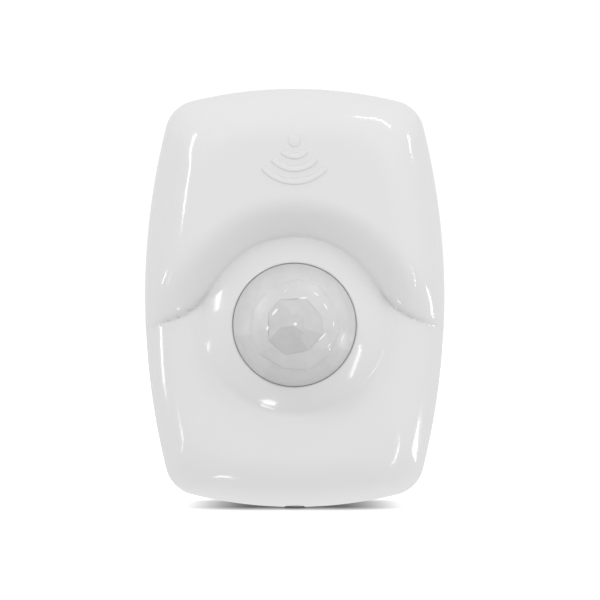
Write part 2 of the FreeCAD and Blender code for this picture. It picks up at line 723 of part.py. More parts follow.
def pir_sensor():
    can = rod(0, LENS_Z, SPACER_TOP, CAN_TOP, CAN)
    can = can.makeFillet(0.5, [e for e in can.Edges if abs(e.BoundBox.YMax + CAN_TOP) < 1e-6])
    flange = rod(0, LENS_Z, SPACER_TOP, SPACER_TOP + CAN_FLANGE_THICK, CAN_FLANGE)
    tab = block(0, LENS_Z, SPACER_TOP, SPACER_TOP + CAN_FLANGE_THICK, 0.9, 2 * CAN_FLANGE + 1.4)
    tab = tab.cut(block(0, LENS_Z + CAN_FLANGE, SPACER_TOP - 1, SPACER_TOP + 2, 2, 2 * CAN_FLANGE))
    body = can.fuse([flange, tab])
    return body.cut(block(0, LENS_Z, CAN_TOP - WINDOW_THICK, CAN_TOP + 1, WINDOW_WIDE, WINDOW_HIGH))


def pir_window():
    return block(0, LENS_Z, CAN_TOP - WINDOW_THICK, CAN_TOP - 0.1, WINDOW_WIDE, WINDOW_HIGH)


def pir_leads():
    return [rod(x, z, LEAD_REAR, SPACER_TOP, SENSOR_LEAD) for x, z in sensor_lead_places()]


def indicator_led():
    body = rod(LED_X, LENS_Z, BOARD_FRONT, BOARD_FRONT + LED_TALL, LED)
    collar = rod(LED_X, LENS_Z, BOARD_FRONT, BOARD_FRONT + 0.9, LED_COLLAR)
    dome = Part.makeSphere(LED, at(LED_X, BOARD_FRONT + LED_TALL, LENS_Z))
    return joined([body, collar, dome])


def terminal_housing():
    long = POLES * PITCH
    body = block(TERMINAL_X, TERMINAL_Z, BOARD_FRONT, TERMINAL_TOP, long, TERMINAL_HIGH)
    body = chamfered(body, 0.5)
    for x in terminal_xs():
        body = body.cut(rod(x, TERMINAL_Z, ENTRY_REAR + 2.0, TERMINAL_TOP + 1, TERMINAL_SHAFT))
        entry_z = TERMINAL_Z + TERMINAL_HIGH / 2
        body = body.cut(block(x, entry_z, ENTRY_REAR, ENTRY_FRONT, ENTRY_WIDE, TERMINAL_HIGH + 5.0))
        body = body.cut(rod(x, TERMINAL_Z, BOARD_FRONT - 1, ENTRY_REAR + 1, TERMINAL_PIN + LEAD_PLAY))
    return body


def terminal_cages():
    cages = []
    for x in terminal_xs():
        rear = ENTRY_REAR + CAGE_PLAY
        front = ENTRY_FRONT - CAGE_PLAY
        wide = ENTRY_WIDE - 2 * CAGE_PLAY
        cage = block(x, TERMINAL_Z, rear, front, wide, CAGE_HIGH)
        cage = cage.cut(block(x, TERMINAL_Z, rear + 0.6, front - 1.0, wide - 1.0, 2 * CAGE_HIGH))
        cage = cage.cut(rod(x, TERMINAL_Z, front - 1.5, front + 1, CLAMP_SCREW + THREAD_PLAY))
        cages.append(cage.fuse(rod(x, TERMINAL_Z, LEAD_REAR, rear + 0.2, TERMINAL_PIN)))
    return cages


def terminal_screws():
    screws = []
    for x in terminal_xs():
        head = rod(x, TERMINAL_Z, TERMINAL_TOP - 2.2, TERMINAL_TOP - 0.8, CLAMP_HEAD)
        slot = block(x, TERMINAL_Z, TERMINAL_TOP - 1.4, TERMINAL_TOP, 0.5, 3 * CLAMP_HEAD)
        shank = rod(x, TERMINAL_Z, ENTRY_FRONT - 2.2, TERMINAL_TOP - 2.2, CLAMP_SCREW)
        screws.append(head.cut(slot).fuse(shank))
    return screws


def tamper_switch():
    body = block(TAMPER_X, TAMPER_Z, BOARD_FRONT, BOARD_FRONT + TAMPER_TALL, TAMPER_BODY, TAMPER_BODY)
    body = chamfered(body, 0.3)
    floor = BOARD_FRONT + TAMPER_SKIN
    roof = BOARD_FRONT + TAMPER_TALL - TAMPER_SKIN
    chamber = rod(TAMPER_X, TAMPER_Z, floor, roof, PLUNGER_FOOT + PLUNGER_PLAY)
    mouth = rod(TAMPER_X, TAMPER_Z, floor, roof + 1, PLUNGER + PLUNGER_PLAY)
    return body.cut(chamber).cut(mouth)


def tamper_plunger():
    """Shown pressed in, as the closed cover holds it."""
    foot = rod(TAMPER_X, TAMPER_Z, FOOT_FRONT - PLUNGER_FOOT_THICK, FOOT_FRONT, PLUNGER_FOOT)
    stem = rod(TAMPER_X, TAMPER_Z, FOOT_FRONT, PLUNGER_TIP, PLUNGER)
    stem = stem.makeFillet(0.5, [e for e in stem.Edges if abs(e.BoundBox.YMax + PLUNGER_TIP) < 1e-6])
    return foot.fuse(stem)


def tamper_spring():
    """Flat coil under the plunger's foot, squeezed while the cover is closed."""
    low = BOARD_FRONT + TAMPER_SKIN
    high = FOOT_FRONT - PLUNGER_FOOT_THICK
    return ring(TAMPER_X, TAMPER_Z, low + 0.02, high - 0.02, COIL_OUTER, COIL_INNER)


def trimmer_body(z):
    top = BOARD_FRONT + TRIMMER_TALL
    body = chamfered(block(TRIMMER_X, z, BOARD_FRONT, top, TRIMMER_BODY, TRIMMER_BODY), 0.3)
    return body.cut(rod(TRIMMER_X, z, BOARD_FRONT + TRIMMER_FLOOR, top + 1, ROTOR + ROTOR_PLAY))


def trimmer_rotor(z):
    top = BOARD_FRONT + TRIMMER_TALL + ROTOR_RISE
    body = rod(TRIMMER_X, z, BOARD_FRONT + TRIMMER_FLOOR + 0.1, top, ROTOR)
    long_slot = block(TRIMMER_X, z, top - SLOT_DEEP, top + 1, SLOT_WIDE, 2 * ROTOR - 1.2)
    short_slot = block(TRIMMER_X, z, top - SLOT_DEEP, top + 1, ROTOR + 0.1, SLOT_WIDE)
    return body.cut(long_slot).cut(short_slot)


def jumper_bases():
    bases = []
    for x in JUMPER_XS.values():
        body = block(x, JUMPER_Z, BOARD_FRONT, BOARD_FRONT + JUMPER_BASE_TALL, JUMPER_PITCH, 2 * JUMPER_PITCH)
        for s in (-1, 1):
            z = JUMPER_Z + s * JUMPER_PITCH / 2
            body = body.cut(block(x, z, BOARD_FRONT - 1, BOARD_FRONT + 4, 2 * PIN_HALF, 2 * PIN_HALF))
        bases.append(body)
    return bases


def jumper_pins():
    top = BOARD_FRONT + JUMPER_BASE_TALL + JUMPER_CAP_TALL - PIN_SHORT
    return [block(x, z, LEAD_REAR, top, 2 * PIN_HALF, 2 * PIN_HALF) for x, z in jumper_pin_places()]


def jumper_cap(x):
    low = BOARD_FRONT + JUMPER_BASE_TALL + 0.05
    top = BOARD_FRONT + JUMPER_BASE_TALL + JUMPER_CAP_TALL
    body = block(x, JUMPER_Z, low, top, JUMPER_PITCH - JUMPER_SLIM, 2 * JUMPER_PITCH - JUMPER_SLIM)
    body = chamfered(body, 0.25)
    for s in (-1, 1):
        z = JUMPER_Z + s * JUMPER_PITCH / 2
        size = 2 * (PIN_HALF + PIN_PLAY)
        body = body.cut(block(x, z, low - 1, top + 1, size, size))
    return body


def chip(x, z, wide, high):
    return chamfered(block(x, z, CHIP_LOW, CHIP_LOW + CHIP_TALL, wide, high), 0.25)


def chip_leads():
    """Bent legs along both long edges of each chip."""
    leads = []
    for x, z, wide, high in (PROCESSOR, AMPLIFIER):
        legs = int(wide / LEG_PITCH)
        for i in range(legs):
            leg_x = x + LEG_PITCH * (i - (legs - 1) / 2)
            for s in (-1, 1):
                knee = z + s * (high / 2 + 0.25)
                arm_low = CHIP_LOW + CHIP_TALL / 2 - LEG_THICK
                foot = block(leg_x, knee + s * 0.45, BOARD_FRONT, BOARD_FRONT + LEG_THICK, LEG_WIDE, 0.9)
                rise = block(leg_x, knee, BOARD_FRONT, arm_low + LEG_THICK, LEG_WIDE, LEG_THICK)
                arm = block(leg_x, knee - s * 0.125, arm_low, arm_low + LEG_THICK, LEG_WIDE, 0.25)
                leads.append(joined([foot, rise, arm]))
    return leads


def alarm_relay():
    x, z, wide, high = RELAY
    return chamfered(block(x, z, BOARD_FRONT, BOARD_FRONT + RELAY_TALL, wide, high), 0.4)


def filter_capacitors():
    cans = []
    for x, z in CAPACITOR_PLACES:
        foot = block(x, z, BOARD_FRONT, BOARD_FRONT + CAPACITOR_FOOT_TALL, CAPACITOR_FOOT, CAPACITOR_FOOT)
        can = rod(x, z, BOARD_FRONT + CAPACITOR_FOOT_TALL, CAPACITOR_TOP, CAPACITOR_BODY)
        cans.append(joined([foot, can]))
    return cans


def input_diode():
    x, z, wide, high = DIODE
    return chamfered(block(x, z, BOARD_FRONT, BOARD_FRONT + 2.2, wide, high), 0.3)


def chip_parts(places, tall):
    """Small two-ended parts, each one block."""
    return [block(x, z, BOARD_FRONT, BOARD_FRONT + tall, CHIP_PART_WIDE, CHIP_PART_HIGH) for x, z in places]


def resistor_places():
    places = []
    for i in range(4):
        places.append((-17.0 + 3.4 * i, BOARD_LOW + 17.5))
        places.append((-13.0 + 3.4 * i, BOARD_LOW + 3.5))
    for x, rise in ((8.0, 10.9), (8.0, 22.4), (-9.0, 13.9), (-9.0, 16.4)):
        places.append((x, LENS_Z + rise))
    return places


def capacitor_places():
    places = [(5.0, BOARD_LOW + rise) for rise in (13.0, 10.0, 7.0)]
    for x, rise in ((-9.0, 19.4), (0.5, 16.9), (0.5, 19.4)):
        places.append((x, LENS_Z + rise))
    return places


# ---- export -------------------------------------------------------------

os.makedirs("parts", exist_ok=True)
save("back_plate", back_plate())
save("front_cover", front_cover())
save("fresnel_lens", fresnel_lens())
save("lens_retainer", lens_retainer())
save("cover_screw", cover_screw())
save("board_screws", Part.makeCompound([board_screw(x, z) for x, z in POSTS]))
save("circuit_board", circuit_board())
save("pir_spacer", pir_spacer())
save("pir_sensor", pir_sensor())
save("pir_window", pir_window())
save("pir_leads", Part.makeCompound(pir_leads()))
save("indicator_led", indicator_led())
save("terminal_housing", terminal_housing())
save("terminal_cages", Part.makeCompound(terminal_cages()))
save("terminal_screws", Part.makeCompound(terminal_screws()))
save("tamper_switch", tamper_switch())
save("tamper_plunger", tamper_plunger())
save("tamper_spring", tamper_spring())
for name, z in TRIMMER_ZS.items():
    save(name + "_trimmer", trimmer_body(z))
    save(name + "_rotor", trimmer_rotor(z))
save("jumper_bases", Part.makeCompound(jumper_bases()))
save("jumper_pins", Part.makeCompound(jumper_pins()))
for name, x in JUMPER_XS.items():
    save(name + "_jumper", jumper_cap(x))
save("processor_chip", chip(*PROCESSOR))
save("amplifier_chip", chip(*AMPLIFIER))
save("chip_leads", Part.makeCompound(chip_leads()))
save("alarm_relay", alarm_relay())
save("filter_capacitors", Part.makeCompound(filter_capacitors()))
save("input_diode", input_diode())
save("chip_resistors", Part.makeCompound(chip_parts(resistor_places(), 0.55)))
save("chip_capacitors", Part.makeCompound(chip_parts(capacitor_places(), 1.0)))
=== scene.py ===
# %% [markdown]
# # A wall motion detector, dressed for its picture
# The engineering model already gives every piece its size and place: cover, lens, back plate, circuit
# board and all the small parts on it. This lesson loads that model as a fixed frame, and then gives each
# visible piece the surface the real one has. Where a piece needs a finer shape than the frame holds, such
# as the glossy cover and the faceted lens, we build it again as a mesh in the same place.

# %% Load the frame
import bpy
import bmesh
import math
import numpy as np
from mathutils import Matrix, Vector


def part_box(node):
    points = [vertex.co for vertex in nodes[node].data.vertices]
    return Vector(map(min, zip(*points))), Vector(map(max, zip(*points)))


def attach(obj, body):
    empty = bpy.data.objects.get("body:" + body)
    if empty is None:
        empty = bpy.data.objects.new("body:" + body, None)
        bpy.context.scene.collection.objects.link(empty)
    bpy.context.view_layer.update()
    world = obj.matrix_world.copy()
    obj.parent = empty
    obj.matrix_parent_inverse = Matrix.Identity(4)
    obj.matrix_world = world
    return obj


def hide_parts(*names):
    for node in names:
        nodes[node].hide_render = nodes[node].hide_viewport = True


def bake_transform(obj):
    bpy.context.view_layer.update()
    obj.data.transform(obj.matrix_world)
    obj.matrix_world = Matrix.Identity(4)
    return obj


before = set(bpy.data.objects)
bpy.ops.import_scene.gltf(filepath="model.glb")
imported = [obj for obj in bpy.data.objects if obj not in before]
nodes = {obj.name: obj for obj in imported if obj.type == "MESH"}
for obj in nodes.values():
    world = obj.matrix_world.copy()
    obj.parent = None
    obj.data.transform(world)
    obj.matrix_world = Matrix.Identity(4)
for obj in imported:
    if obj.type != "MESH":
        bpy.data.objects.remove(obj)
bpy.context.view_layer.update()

# %% [markdown]
# Everything that follows is measured from the frame. The lens gives the axis that the cover is shaped
# around, and the cover's box gives its width, height and the depth of its rear edge. Depth means distance
# in front of the wall, so a depth of 10 mm is y = -0.010.

# %% Measure the pieces everything else hangs on
MM = 0.001
_, cover_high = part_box("front_cover")
lens_low, lens_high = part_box("fresnel_lens")
board_low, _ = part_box("circuit_board")
plate_low, plate_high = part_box("back_plate")
WIDTH = plate_high.x - plate_low.x
HEIGHT = plate_high.z - plate_low.z
LENS_Z = (lens_low.z + lens_high.z) / 2
RIM = -cover_high.y
LENS_TOP = -lens_low.y
BOARD_FRONT = -board_low.y
LOWER = BOARD_FRONT + 8.0 * MM
LIP = LOWER + 4.6 * MM
HOOD = LOWER + 7.9 * MM
print("width", WIDTH, "height", HEIGHT, "lens axis at", LENS_Z, "rim", RIM)

# %% [markdown]
# ## Effects that several materials share
# A moulded plastic part is never one flat colour. Its surface has a very faint unevenness from the mould,
# its gloss varies where hands have polished it, and a little dust settles on faces that look up. Each of
# these is a shader node group, built once, with named inputs, so every material can place it with its own
# amounts. A group only hands out colours, masks and heights: the shader itself stays in each material.

# %% A helper that starts a node group with named sockets


def start_group(name, inputs, outputs):
    """An empty shader node group; inputs are (name, kind, default), outputs are (name, kind)."""
    group = bpy.data.node_groups.new(name, "ShaderNodeTree")
    for label, kind, default in inputs:
        socket = group.interface.new_socket(label, in_out="INPUT", socket_type="NodeSocket" + kind)
        socket.default_value = default
    for label, kind in outputs:
        group.interface.new_socket(label, in_out="OUTPUT", socket_type="NodeSocket" + kind)
    return group, group.nodes.new("NodeGroupInput"), group.nodes.new("NodeGroupOutput")


def node(tree, kind, **settings):
    """A new node of that kind, with its properties and unlinked inputs set."""
    made = tree.nodes.new("ShaderNode" + kind)
    for key, value in settings.items():
        if key in made.inputs:
            made.inputs[key].default_value = value
        else:
            setattr(made, key, value)
    return made


def maths(tree, operation, a, b=None, c=None, clamp=False):
    """A Math node fed by sockets or plain numbers; gives its output socket."""
    made = tree.nodes.new("ShaderNodeMath")
    made.operation = operation
    made.use_clamp = clamp
    for slot, value in zip(made.inputs, (a, b, c)):
        if value is None:
            continue
        if isinstance(value, (int, float)):
            slot.default_value = value
        else:
            tree.links.new(value, slot)
    return made.outputs[0]


def blended(tree, share, low, high):
    """A colour mixed from low to high by share; low and high are colours or sockets."""
    made = tree.nodes.new("ShaderNodeMix")
    made.data_type = "RGBA"
    tree.links.new(share, made.inputs[0])
    for slot, value in ((made.inputs[6], low), (made.inputs[7], high)):
        if isinstance(value, tuple):
            slot.default_value = (*value, 1.0)
        else:
            tree.links.new(value, slot)
    return made.outputs[2]


print("helpers ready")

# %% [markdown]
# The first group is the moulded surface. Real mould steel is polished or lightly etched, and the plastic
# copies it: a slow waviness a few millimetres across, and a fine texture on top. We mix two noises of
# different size into a height, and let the slow one also shift the gloss and the colour by a hair.

# %% Group: moulded surface
moulded, inside, out = start_group(
    "Moulded surface",
    [
        ("Fine size", "Float", 1600.0),
        ("Slow size", "Float", 60.0),
        ("Fine share", "Float", 0.35),
        ("Gloss", "Float", 0.2),
        ("Gloss spread", "Float", 0.05),
    ],
    [("Height", "Float"), ("Roughness", "Float"), ("Mottle", "Float")],
)
place = node(moulded, "TexCoord")
fine = node(moulded, "TexNoise", Detail=2.0, Roughness=0.5)
slow = node(moulded, "TexNoise", Detail=3.0, Roughness=0.55)
for texture, size in ((fine, "Fine size"), (slow, "Slow size")):
    moulded.links.new(place.outputs["Object"], texture.inputs["Vector"])
    moulded.links.new(inside.outputs[size], texture.inputs["Scale"])
fine_part = maths(moulded, "MULTIPLY", fine.outputs[0], inside.outputs["Fine share"])
moulded.links.new(maths(moulded, "ADD", fine_part, slow.outputs[0]), out.inputs["Height"])
centred = maths(moulded, "SUBTRACT", slow.outputs[0], 0.5)
spread = maths(moulded, "MULTIPLY", centred, inside.outputs["Gloss spread"])
gloss = maths(moulded, "ADD", inside.outputs["Gloss"], spread, clamp=True)
moulded.links.new(gloss, out.inputs["Roughness"])
moulded.links.new(slow.outputs[0], out.inputs["Mottle"])
print("group", moulded.name)

# %% [markdown]
# The second group finds the edges of a piece. The Bevel node gives the normal that a slightly rounded
# edge would have, and comparing it with the true normal leaves a thin mask along each edge. Plastic is
# rubbed a little lighter there, and plated metal shows a brighter line.

# %% Group: edge wear
worn, inside, out = start_group(
    "Edge wear",
    [("Width", "Float", 0.0003), ("Patch size", "Float", 400.0), ("Strength", "Float", 1.0)],
    [("Mask", "Float")],
)
rounded = node(worn, "Bevel", samples=4)
worn.links.new(inside.outputs["Width"], rounded.inputs["Radius"])
true_face = node(worn, "NewGeometry")
turned = node(worn, "VectorMath", operation="DOT_PRODUCT")
worn.links.new(rounded.outputs[0], turned.inputs[0])
worn.links.new(true_face.outputs["Normal"], turned.inputs[1])
bent = maths(worn, "SUBTRACT", 1.0, turned.outputs["Value"])
place = node(worn, "TexCoord")
patches = node(worn, "TexNoise", Detail=2.0)
worn.links.new(place.outputs["Object"], patches.inputs["Vector"])
worn.links.new(inside.outputs["Patch size"], patches.inputs["Scale"])
broken = maths(worn, "MULTIPLY", bent, patches.outputs[0])
mask = maths(worn, "MULTIPLY", maths(worn, "MULTIPLY", broken, 6.0), inside.outputs["Strength"], clamp=True)
worn.links.new(mask, out.inputs["Mask"])
print("group", worn.name)

# %% [markdown]
# The third group is dust. It gathers on what faces up, so the mask starts from the upward part of the
# normal and is broken up by noise. It takes a little gloss away and warms the colour slightly.

# %% Group: settled dust
dusty, inside, out = start_group(
    "Settled dust",
    [("Amount", "Float", 0.2), ("Speck size", "Float", 900.0)],
    [("Mask", "Float")],
)
place = node(dusty, "TexCoord")
way = node(dusty, "NewGeometry")
split = node(dusty, "SeparateXYZ")
dusty.links.new(way.outputs["Normal"], split.inputs[0])
upward = maths(dusty, "MAXIMUM", split.outputs["Z"], 0.0)
specks = node(dusty, "TexNoise", Detail=4.0, Roughness=0.7)
dusty.links.new(place.outputs["Object"], specks.inputs["Vector"])
dusty.links.new(inside.outputs["Speck size"], specks.inputs["Scale"])
flecked = maths(dusty, "MULTIPLY", upward, specks.outputs[0])
dusty.links.new(maths(dusty, "MULTIPLY", flecked, inside.outputs["Amount"], clamp=True), out.inputs["Mask"])
print("group", dusty.name)

# %% [markdown]
# Most finishes here are built the same way: a base colour with a hint of mottle, edges a little lighter,
# dust on top, and gloss and bump from the moulded surface. One function lays those nodes down, and each
# finish calls it with its own numbers, just as a moulder picks a resin and a polish.

# %% A finish made of the three groups


def finish(name, colour, gloss, metal=0.0, edge=None, fine=1600.0, slow=60.0, bump=0.02, depth=0.00002,
           spread=0.05, dust=0.15, mottle=0.03, wear=0.0003, coat=0.0):
    """A material with mottle, edge wear, dust, varying gloss and a fine bump."""
    made = bpy.data.materials.new(name)
    made.use_nodes = True
    tree = made.node_tree
    shader = tree.nodes["Principled BSDF"]
    shader.inputs["Metallic"].default_value = metal
    shader.inputs["Coat Weight"].default_value = coat
    shader.inputs["Coat Roughness"].default_value = 0.08
    skin = node(tree, "Group", node_tree=moulded)
    skin_values = (("Fine size", fine), ("Slow size", slow), ("Gloss", gloss), ("Gloss spread", spread))
    for label, value in skin_values:
        skin.inputs[label].default_value = value
    edges = node(tree, "Group", node_tree=worn)
    edges.inputs["Width"].default_value = wear
    dust_film = node(tree, "Group", node_tree=dusty)
    dust_film.inputs["Amount"].default_value = dust
    light_edge = edge or tuple(min(1.0, c * 1.12 + 0.02) for c in colour)
    darker = tuple(c * (1 - mottle) for c in colour)
    base = blended(tree, skin.outputs["Mottle"], darker, colour)
    base = blended(tree, edges.outputs["Mask"], base, light_edge)
    base = blended(tree, dust_film.outputs["Mask"], base, (0.62, 0.60, 0.56))
    tree.links.new(base, shader.inputs["Base Color"])
    dull = maths(tree, "MULTIPLY", dust_film.outputs["Mask"], 0.4)
    rough = maths(tree, "ADD", skin.outputs["Roughness"], dull)
    tree.links.new(rough, shader.inputs["Roughness"])
    raise_it = node(tree, "Bump", Strength=bump, Distance=depth)
    tree.links.new(skin.outputs["Height"], raise_it.inputs["Height"])
    tree.links.new(raise_it.outputs[0], shader.inputs["Normal"])
    return made


cover_white = finish("Glossy white plastic", (0.74, 0.74, 0.74), 0.12, slow=45.0, bump=0.05, depth=0.00004,
                     spread=0.05, dust=0.05, mottle=0.02, wear=0.0002)
plate_white = finish("Satin white plastic", (0.73, 0.73, 0.725), 0.38, bump=0.15, depth=0.00003, dust=0.1)
print("finishes:", cover_white.name, "and", plate_white.name)

# %% [markdown]
# ## The cover
# The cover is one injection-moulded shell: a thick hood above, a thinner body below, and a ball-shaped
# collar round the lens. Its glossy skin shows every ripple, so we don't shade the frame's triangles.
# We compute the skin again on a dense, even grid: rings that start at the rim, roll over the shoulder and
# run in to the round opening. First comes the outline, which is eight arcs that touch each other.

# %% The outline of the housing
SIDE_ARC = 172.0 * MM
END_ARC = 106.0 * MM
CORNER = 8.5 * MM
SHOULDER = 14.0 * MM
CORNER_GROWTH = 0.45
SIDE_CENTRE = WIDTH / 2 - SIDE_ARC
END_CENTRE = HEIGHT / 2 - END_ARC


def corner_centre(inset, corner):
    """Centre of the corner arc that touches a side and an end arc drawn in by inset."""
    a = SIDE_ARC - inset - corner
    b = END_ARC - inset - corner
    gap = math.hypot(SIDE_CENTRE, END_CENTRE)
    along = (a * a - b * b + gap * gap) / (2 * gap)
    across = math.sqrt(a * a - along * along)
    ux, uz = -SIDE_CENTRE / gap, END_CENTRE / gap
    return SIDE_CENTRE + ux * along - uz * across, uz * along + ux * across


def leave_circle(dx, dz, cx, cz, radius):
    """How far rays from the lens axis run before they leave a circle."""
    fx, fz = -cx, LENS_Z - cz
    b = fx * dx + fz * dz
    disc = b * b - (fx * fx + fz * fz - radius * radius)
    return np.where(disc > 0, np.sqrt(np.maximum(disc, 0)) - b, np.inf)


def outline_ring(angles, inset, corner):
    """Where rays from the lens axis meet the outline drawn in by inset."""
    dx, dz = np.cos(angles), np.sin(angles)
    cx, cz = corner_centre(inset, corner)
    side_angle = math.atan2(cz, cx - SIDE_CENTRE)
    end_angle = math.atan2(cz - END_CENTRE, cx)
    reach = np.full(len(angles), np.inf)
    for s in (1, -1):
        reach = np.minimum(reach, leave_circle(dx, dz, s * SIDE_CENTRE, 0, SIDE_ARC - inset))
        reach = np.minimum(reach, leave_circle(dx, dz, 0, s * END_CENTRE, END_ARC - inset))
    side = np.where(dx >= 0, 1.0, -1.0)
    for up in (1, -1):
        far = leave_circle(dx, dz, side * cx, up * cz, corner)
        safe = np.where(np.isfinite(far), far, 0)
        turn = np.arctan2((LENS_Z + dz * safe) * up - cz, dx * safe * side - cx)
        on_corner = np.isfinite(far) & (turn >= side_angle) & (turn <= end_angle)
        reach = np.where(on_corner, far, reach)
    return dx * reach, LENS_Z + dz * reach


def even_angles(count):
    """Angles that share the outline out into equal lengths, starting at the bottom."""
    fine = np.linspace(0, 2 * math.pi, 16 * count + 1) - math.pi / 2
    x, z = outline_ring(fine, 0, CORNER)
    run = np.concatenate([[0], np.cumsum(np.hypot(np.diff(x), np.diff(z)))])
    return np.interp(run[-1] * np.arange(count) / count, run, fine)


ring_x, ring_z = outline_ring(even_angles(720), 0, CORNER)
print("outline reaches", ring_x.max() / MM, "by", ring_z.max() / MM, "mm from the middle")

# %% [markdown]
# Next is the depth of the skin at any point of the front. The hood ends in an arch over the lens that
# flares into two wings, and below it lies the thin body. The ball of the collar is laid over both, and
# the two are joined with a soft crease. The same functions with the wall taken off give the inside face.

# %% The depth of the skin
WALL = 2.0 * MM
APERTURE = 14.6 * MM
SEAT = APERTURE + 4.2 * MM
SEAT_WALL = 1.8 * MM
SEAT_DEPTH = LIP - 4.2 * MM
ARCH = APERTURE + 6.0 * MM
STEP = 10.5 * MM
WING_Z = LENS_Z + 4.4 * MM
WING_SLOPE = 0.32
FLARE = 9.0 * MM
BALL = 34.0 * MM


def smooth_min(a, b, size):
    near = np.maximum(size - np.abs(a - b), 0) / size
    return np.minimum(a, b) - near * near * size / 4


def brow(share):
    """0 under the hood, 1 on it: rounded at the top, steep at its inner edge."""
    t = np.clip(share, 0, 1)
    eased = t * t * t * (t * (6 * t - 15) + 10)
    return 0.35 * eased + 0.65 * np.sqrt(1 - (1 - t) ** 2)


def body_depth(x, z, thinner):
    from_lens = np.hypot(x, z - LENS_Z)
    soft_x = np.sqrt(x * x + (3 * MM) ** 2)
    wing = z - (WING_Z + 0.8 * thinner - WING_SLOPE * (soft_x - 20 * MM))
    step = brow(smooth_min(from_lens - ARCH - 0.8 * thinner, wing / math.hypot(1, WING_SLOPE), FLARE) / STEP)
    upper = HOOD - thinner - 1.2 * x * x - 0.9 * (z - 18 * MM) ** 2
    lower = LOWER - thinner - 1.2 * x * x - 0.025 * (z + 10 * MM)
    return lower + (upper - lower) * step


def ball_depth(x, z, ball, edge, edge_depth):
    from_lens = np.minimum(np.hypot(x, z - LENS_Z), 0.98 * ball)
    return edge_depth + np.sqrt(ball**2 - from_lens**2) - math.sqrt(ball**2 - edge**2)


def outer_depth(x, z):
    return -smooth_min(-body_depth(x, z, 0), -ball_depth(x, z, BALL, APERTURE, LIP), 0.7 * MM)


def inner_depth(x, z):
    ball = ball_depth(x, z, BALL - WALL, SEAT + SEAT_WALL / 2, SEAT_DEPTH)
    return -smooth_min(-body_depth(x, z, WALL), -ball, 0.6 * WALL)


print("hood", float(outer_depth(0.0, 0.03)) / MM, "mm deep, lower body", float(outer_depth(0.0, -0.035)) / MM)

# %% [markdown]
# Now the rings themselves. Going out from the rim the shoulder is a quarter turn, so its rings crowd
# where the bend is tight. At the opening the outer skin rolls over a small rounded lip, runs back along
# the seat of the lens, round the short tube behind it, and out again along the inside face. Because
# every ring has the same number of points, the whole shell is one closed skin of four-sided faces.

# %% Rings of the shell
AROUND = 480
angles = even_angles(AROUND)


def shoulder_and_front(depth, start, end_radius, shoulder_steps, front_steps):
    """Rings from the rim in to a circle round the lens, as arrays of (x, y, z)."""
    rings = []
    for bend in np.linspace(0, math.pi / 2, shoulder_steps + 1):
        turn = 1 - math.cos(bend)
        inset = start + (SHOULDER - start) * turn
        corner = CORNER - start + (CORNER_GROWTH * SHOULDER + start) * turn
        x, z = outline_ring(angles, inset, corner)
        rings.append(np.stack([x, -(RIM + (depth(x, z) - RIM) * math.sin(bend)), z], 1))
    edge = rings[-1]
    for t in np.linspace(0, 1, front_steps + 1)[1:]:
        x = edge[:, 0] * (1 - t) + end_radius * np.cos(angles) * t
        z = edge[:, 2] * (1 - t) + (LENS_Z + end_radius * np.sin(angles)) * t
        rings.append(np.stack([x, -depth(x, z), z], 1))
    return rings


def circle_ring(radius, depth):
    """One ring round the lens axis."""
    return np.stack([radius * np.cos(angles), np.full(AROUND, -depth), LENS_Z + radius * np.sin(angles)], 1)


LIP_ROUND = 0.4 * MM
outside = shoulder_and_front(outer_depth, 0, APERTURE + LIP_ROUND, 30, 120)
lip_depth = -outside[-1][:, 1].mean()
lip = []
for bend in np.linspace(0, math.pi / 2, 7)[1:]:
    lip_radius = APERTURE + LIP_ROUND * (1 - math.sin(bend))
    lip.append(circle_ring(lip_radius, lip_depth - LIP_ROUND * (1 - math.cos(bend))))
SEAT_REAR = SEAT_DEPTH - 3.8 * MM
seat = [circle_ring(APERTURE, SEAT_DEPTH + 0.2 * MM), circle_ring(APERTURE, SEAT_DEPTH)]
seat += [circle_ring(SEAT, SEAT_DEPTH), circle_ring(SEAT, SEAT_REAR)]
seat += [circle_ring(SEAT + SEAT_WALL, SEAT_REAR)]
within = shoulder_and_front(inner_depth, WALL, SEAT + SEAT_WALL, 16, 50)[::-1]
shell_rings = outside + lip + seat + within
print("rings:", len(shell_rings), "of", AROUND, "points")

# %% [markdown]
# A ring list becomes a mesh by joining each ring to the next. The last ring meets the first along the
# rear edge of the rim, which closes the shell. Faces are shaded smooth, and the sharp corners of the seat
# and rim are marked by angle, so that the glossy outside keeps long, calm reflections.

# %% Turn rings into a mesh


def mesh_from_rings(name, rings, closed=True, sharp=40.0):
    """An object whose faces join each ring to the next, and the last to the first if closed."""
    count = len(rings[0])
    points = np.concatenate(rings)
    faces = []
    for i in range(len(rings) if closed else len(rings) - 1):
        a, b = i * count, (i + 1) % len(rings) * count
        for k in range(count):
            n = (k + 1) % count
            faces.append((a + k, a + n, b + n, b + k))
    made = bpy.data.meshes.new(name)
    made.from_pydata(points.tolist(), [], faces)
    made.update()
    return finished_object(name, made, sharp)


def finished_object(name, made, sharp=40.0):
    """Links a mesh as an object, turns its faces outward and shades it smooth up to an angle."""
    tidy = bmesh.new()
    tidy.from_mesh(made)
    bmesh.ops.recalc_face_normals(tidy, faces=tidy.faces)
    tidy.to_mesh(made)
    tidy.free()
    made.polygons.foreach_set("use_smooth", [True] * len(made.polygons))
    made.set_sharp_from_angle(angle=math.radians(sharp))
    shown = bpy.data.objects.new(name, made)
    bpy.context.scene.collection.objects.link(shown)
    return shown


shell = mesh_from_rings("cover_shell", shell_rings)
print("cover faces:", len(shell.data.polygons))

# %% [markdown]
# The mould also leaves a screw pad at the bottom, a post that presses the tamper button, three snap beads
# that hold the lens ring, two pockets for the hooks, and a notch open to the rear for the cover screw. We
# add the solid features as small meshes and take the pockets and the notch out with a Boolean, the way a
# toolmaker adds inserts to the mould.

# %% Small building blocks


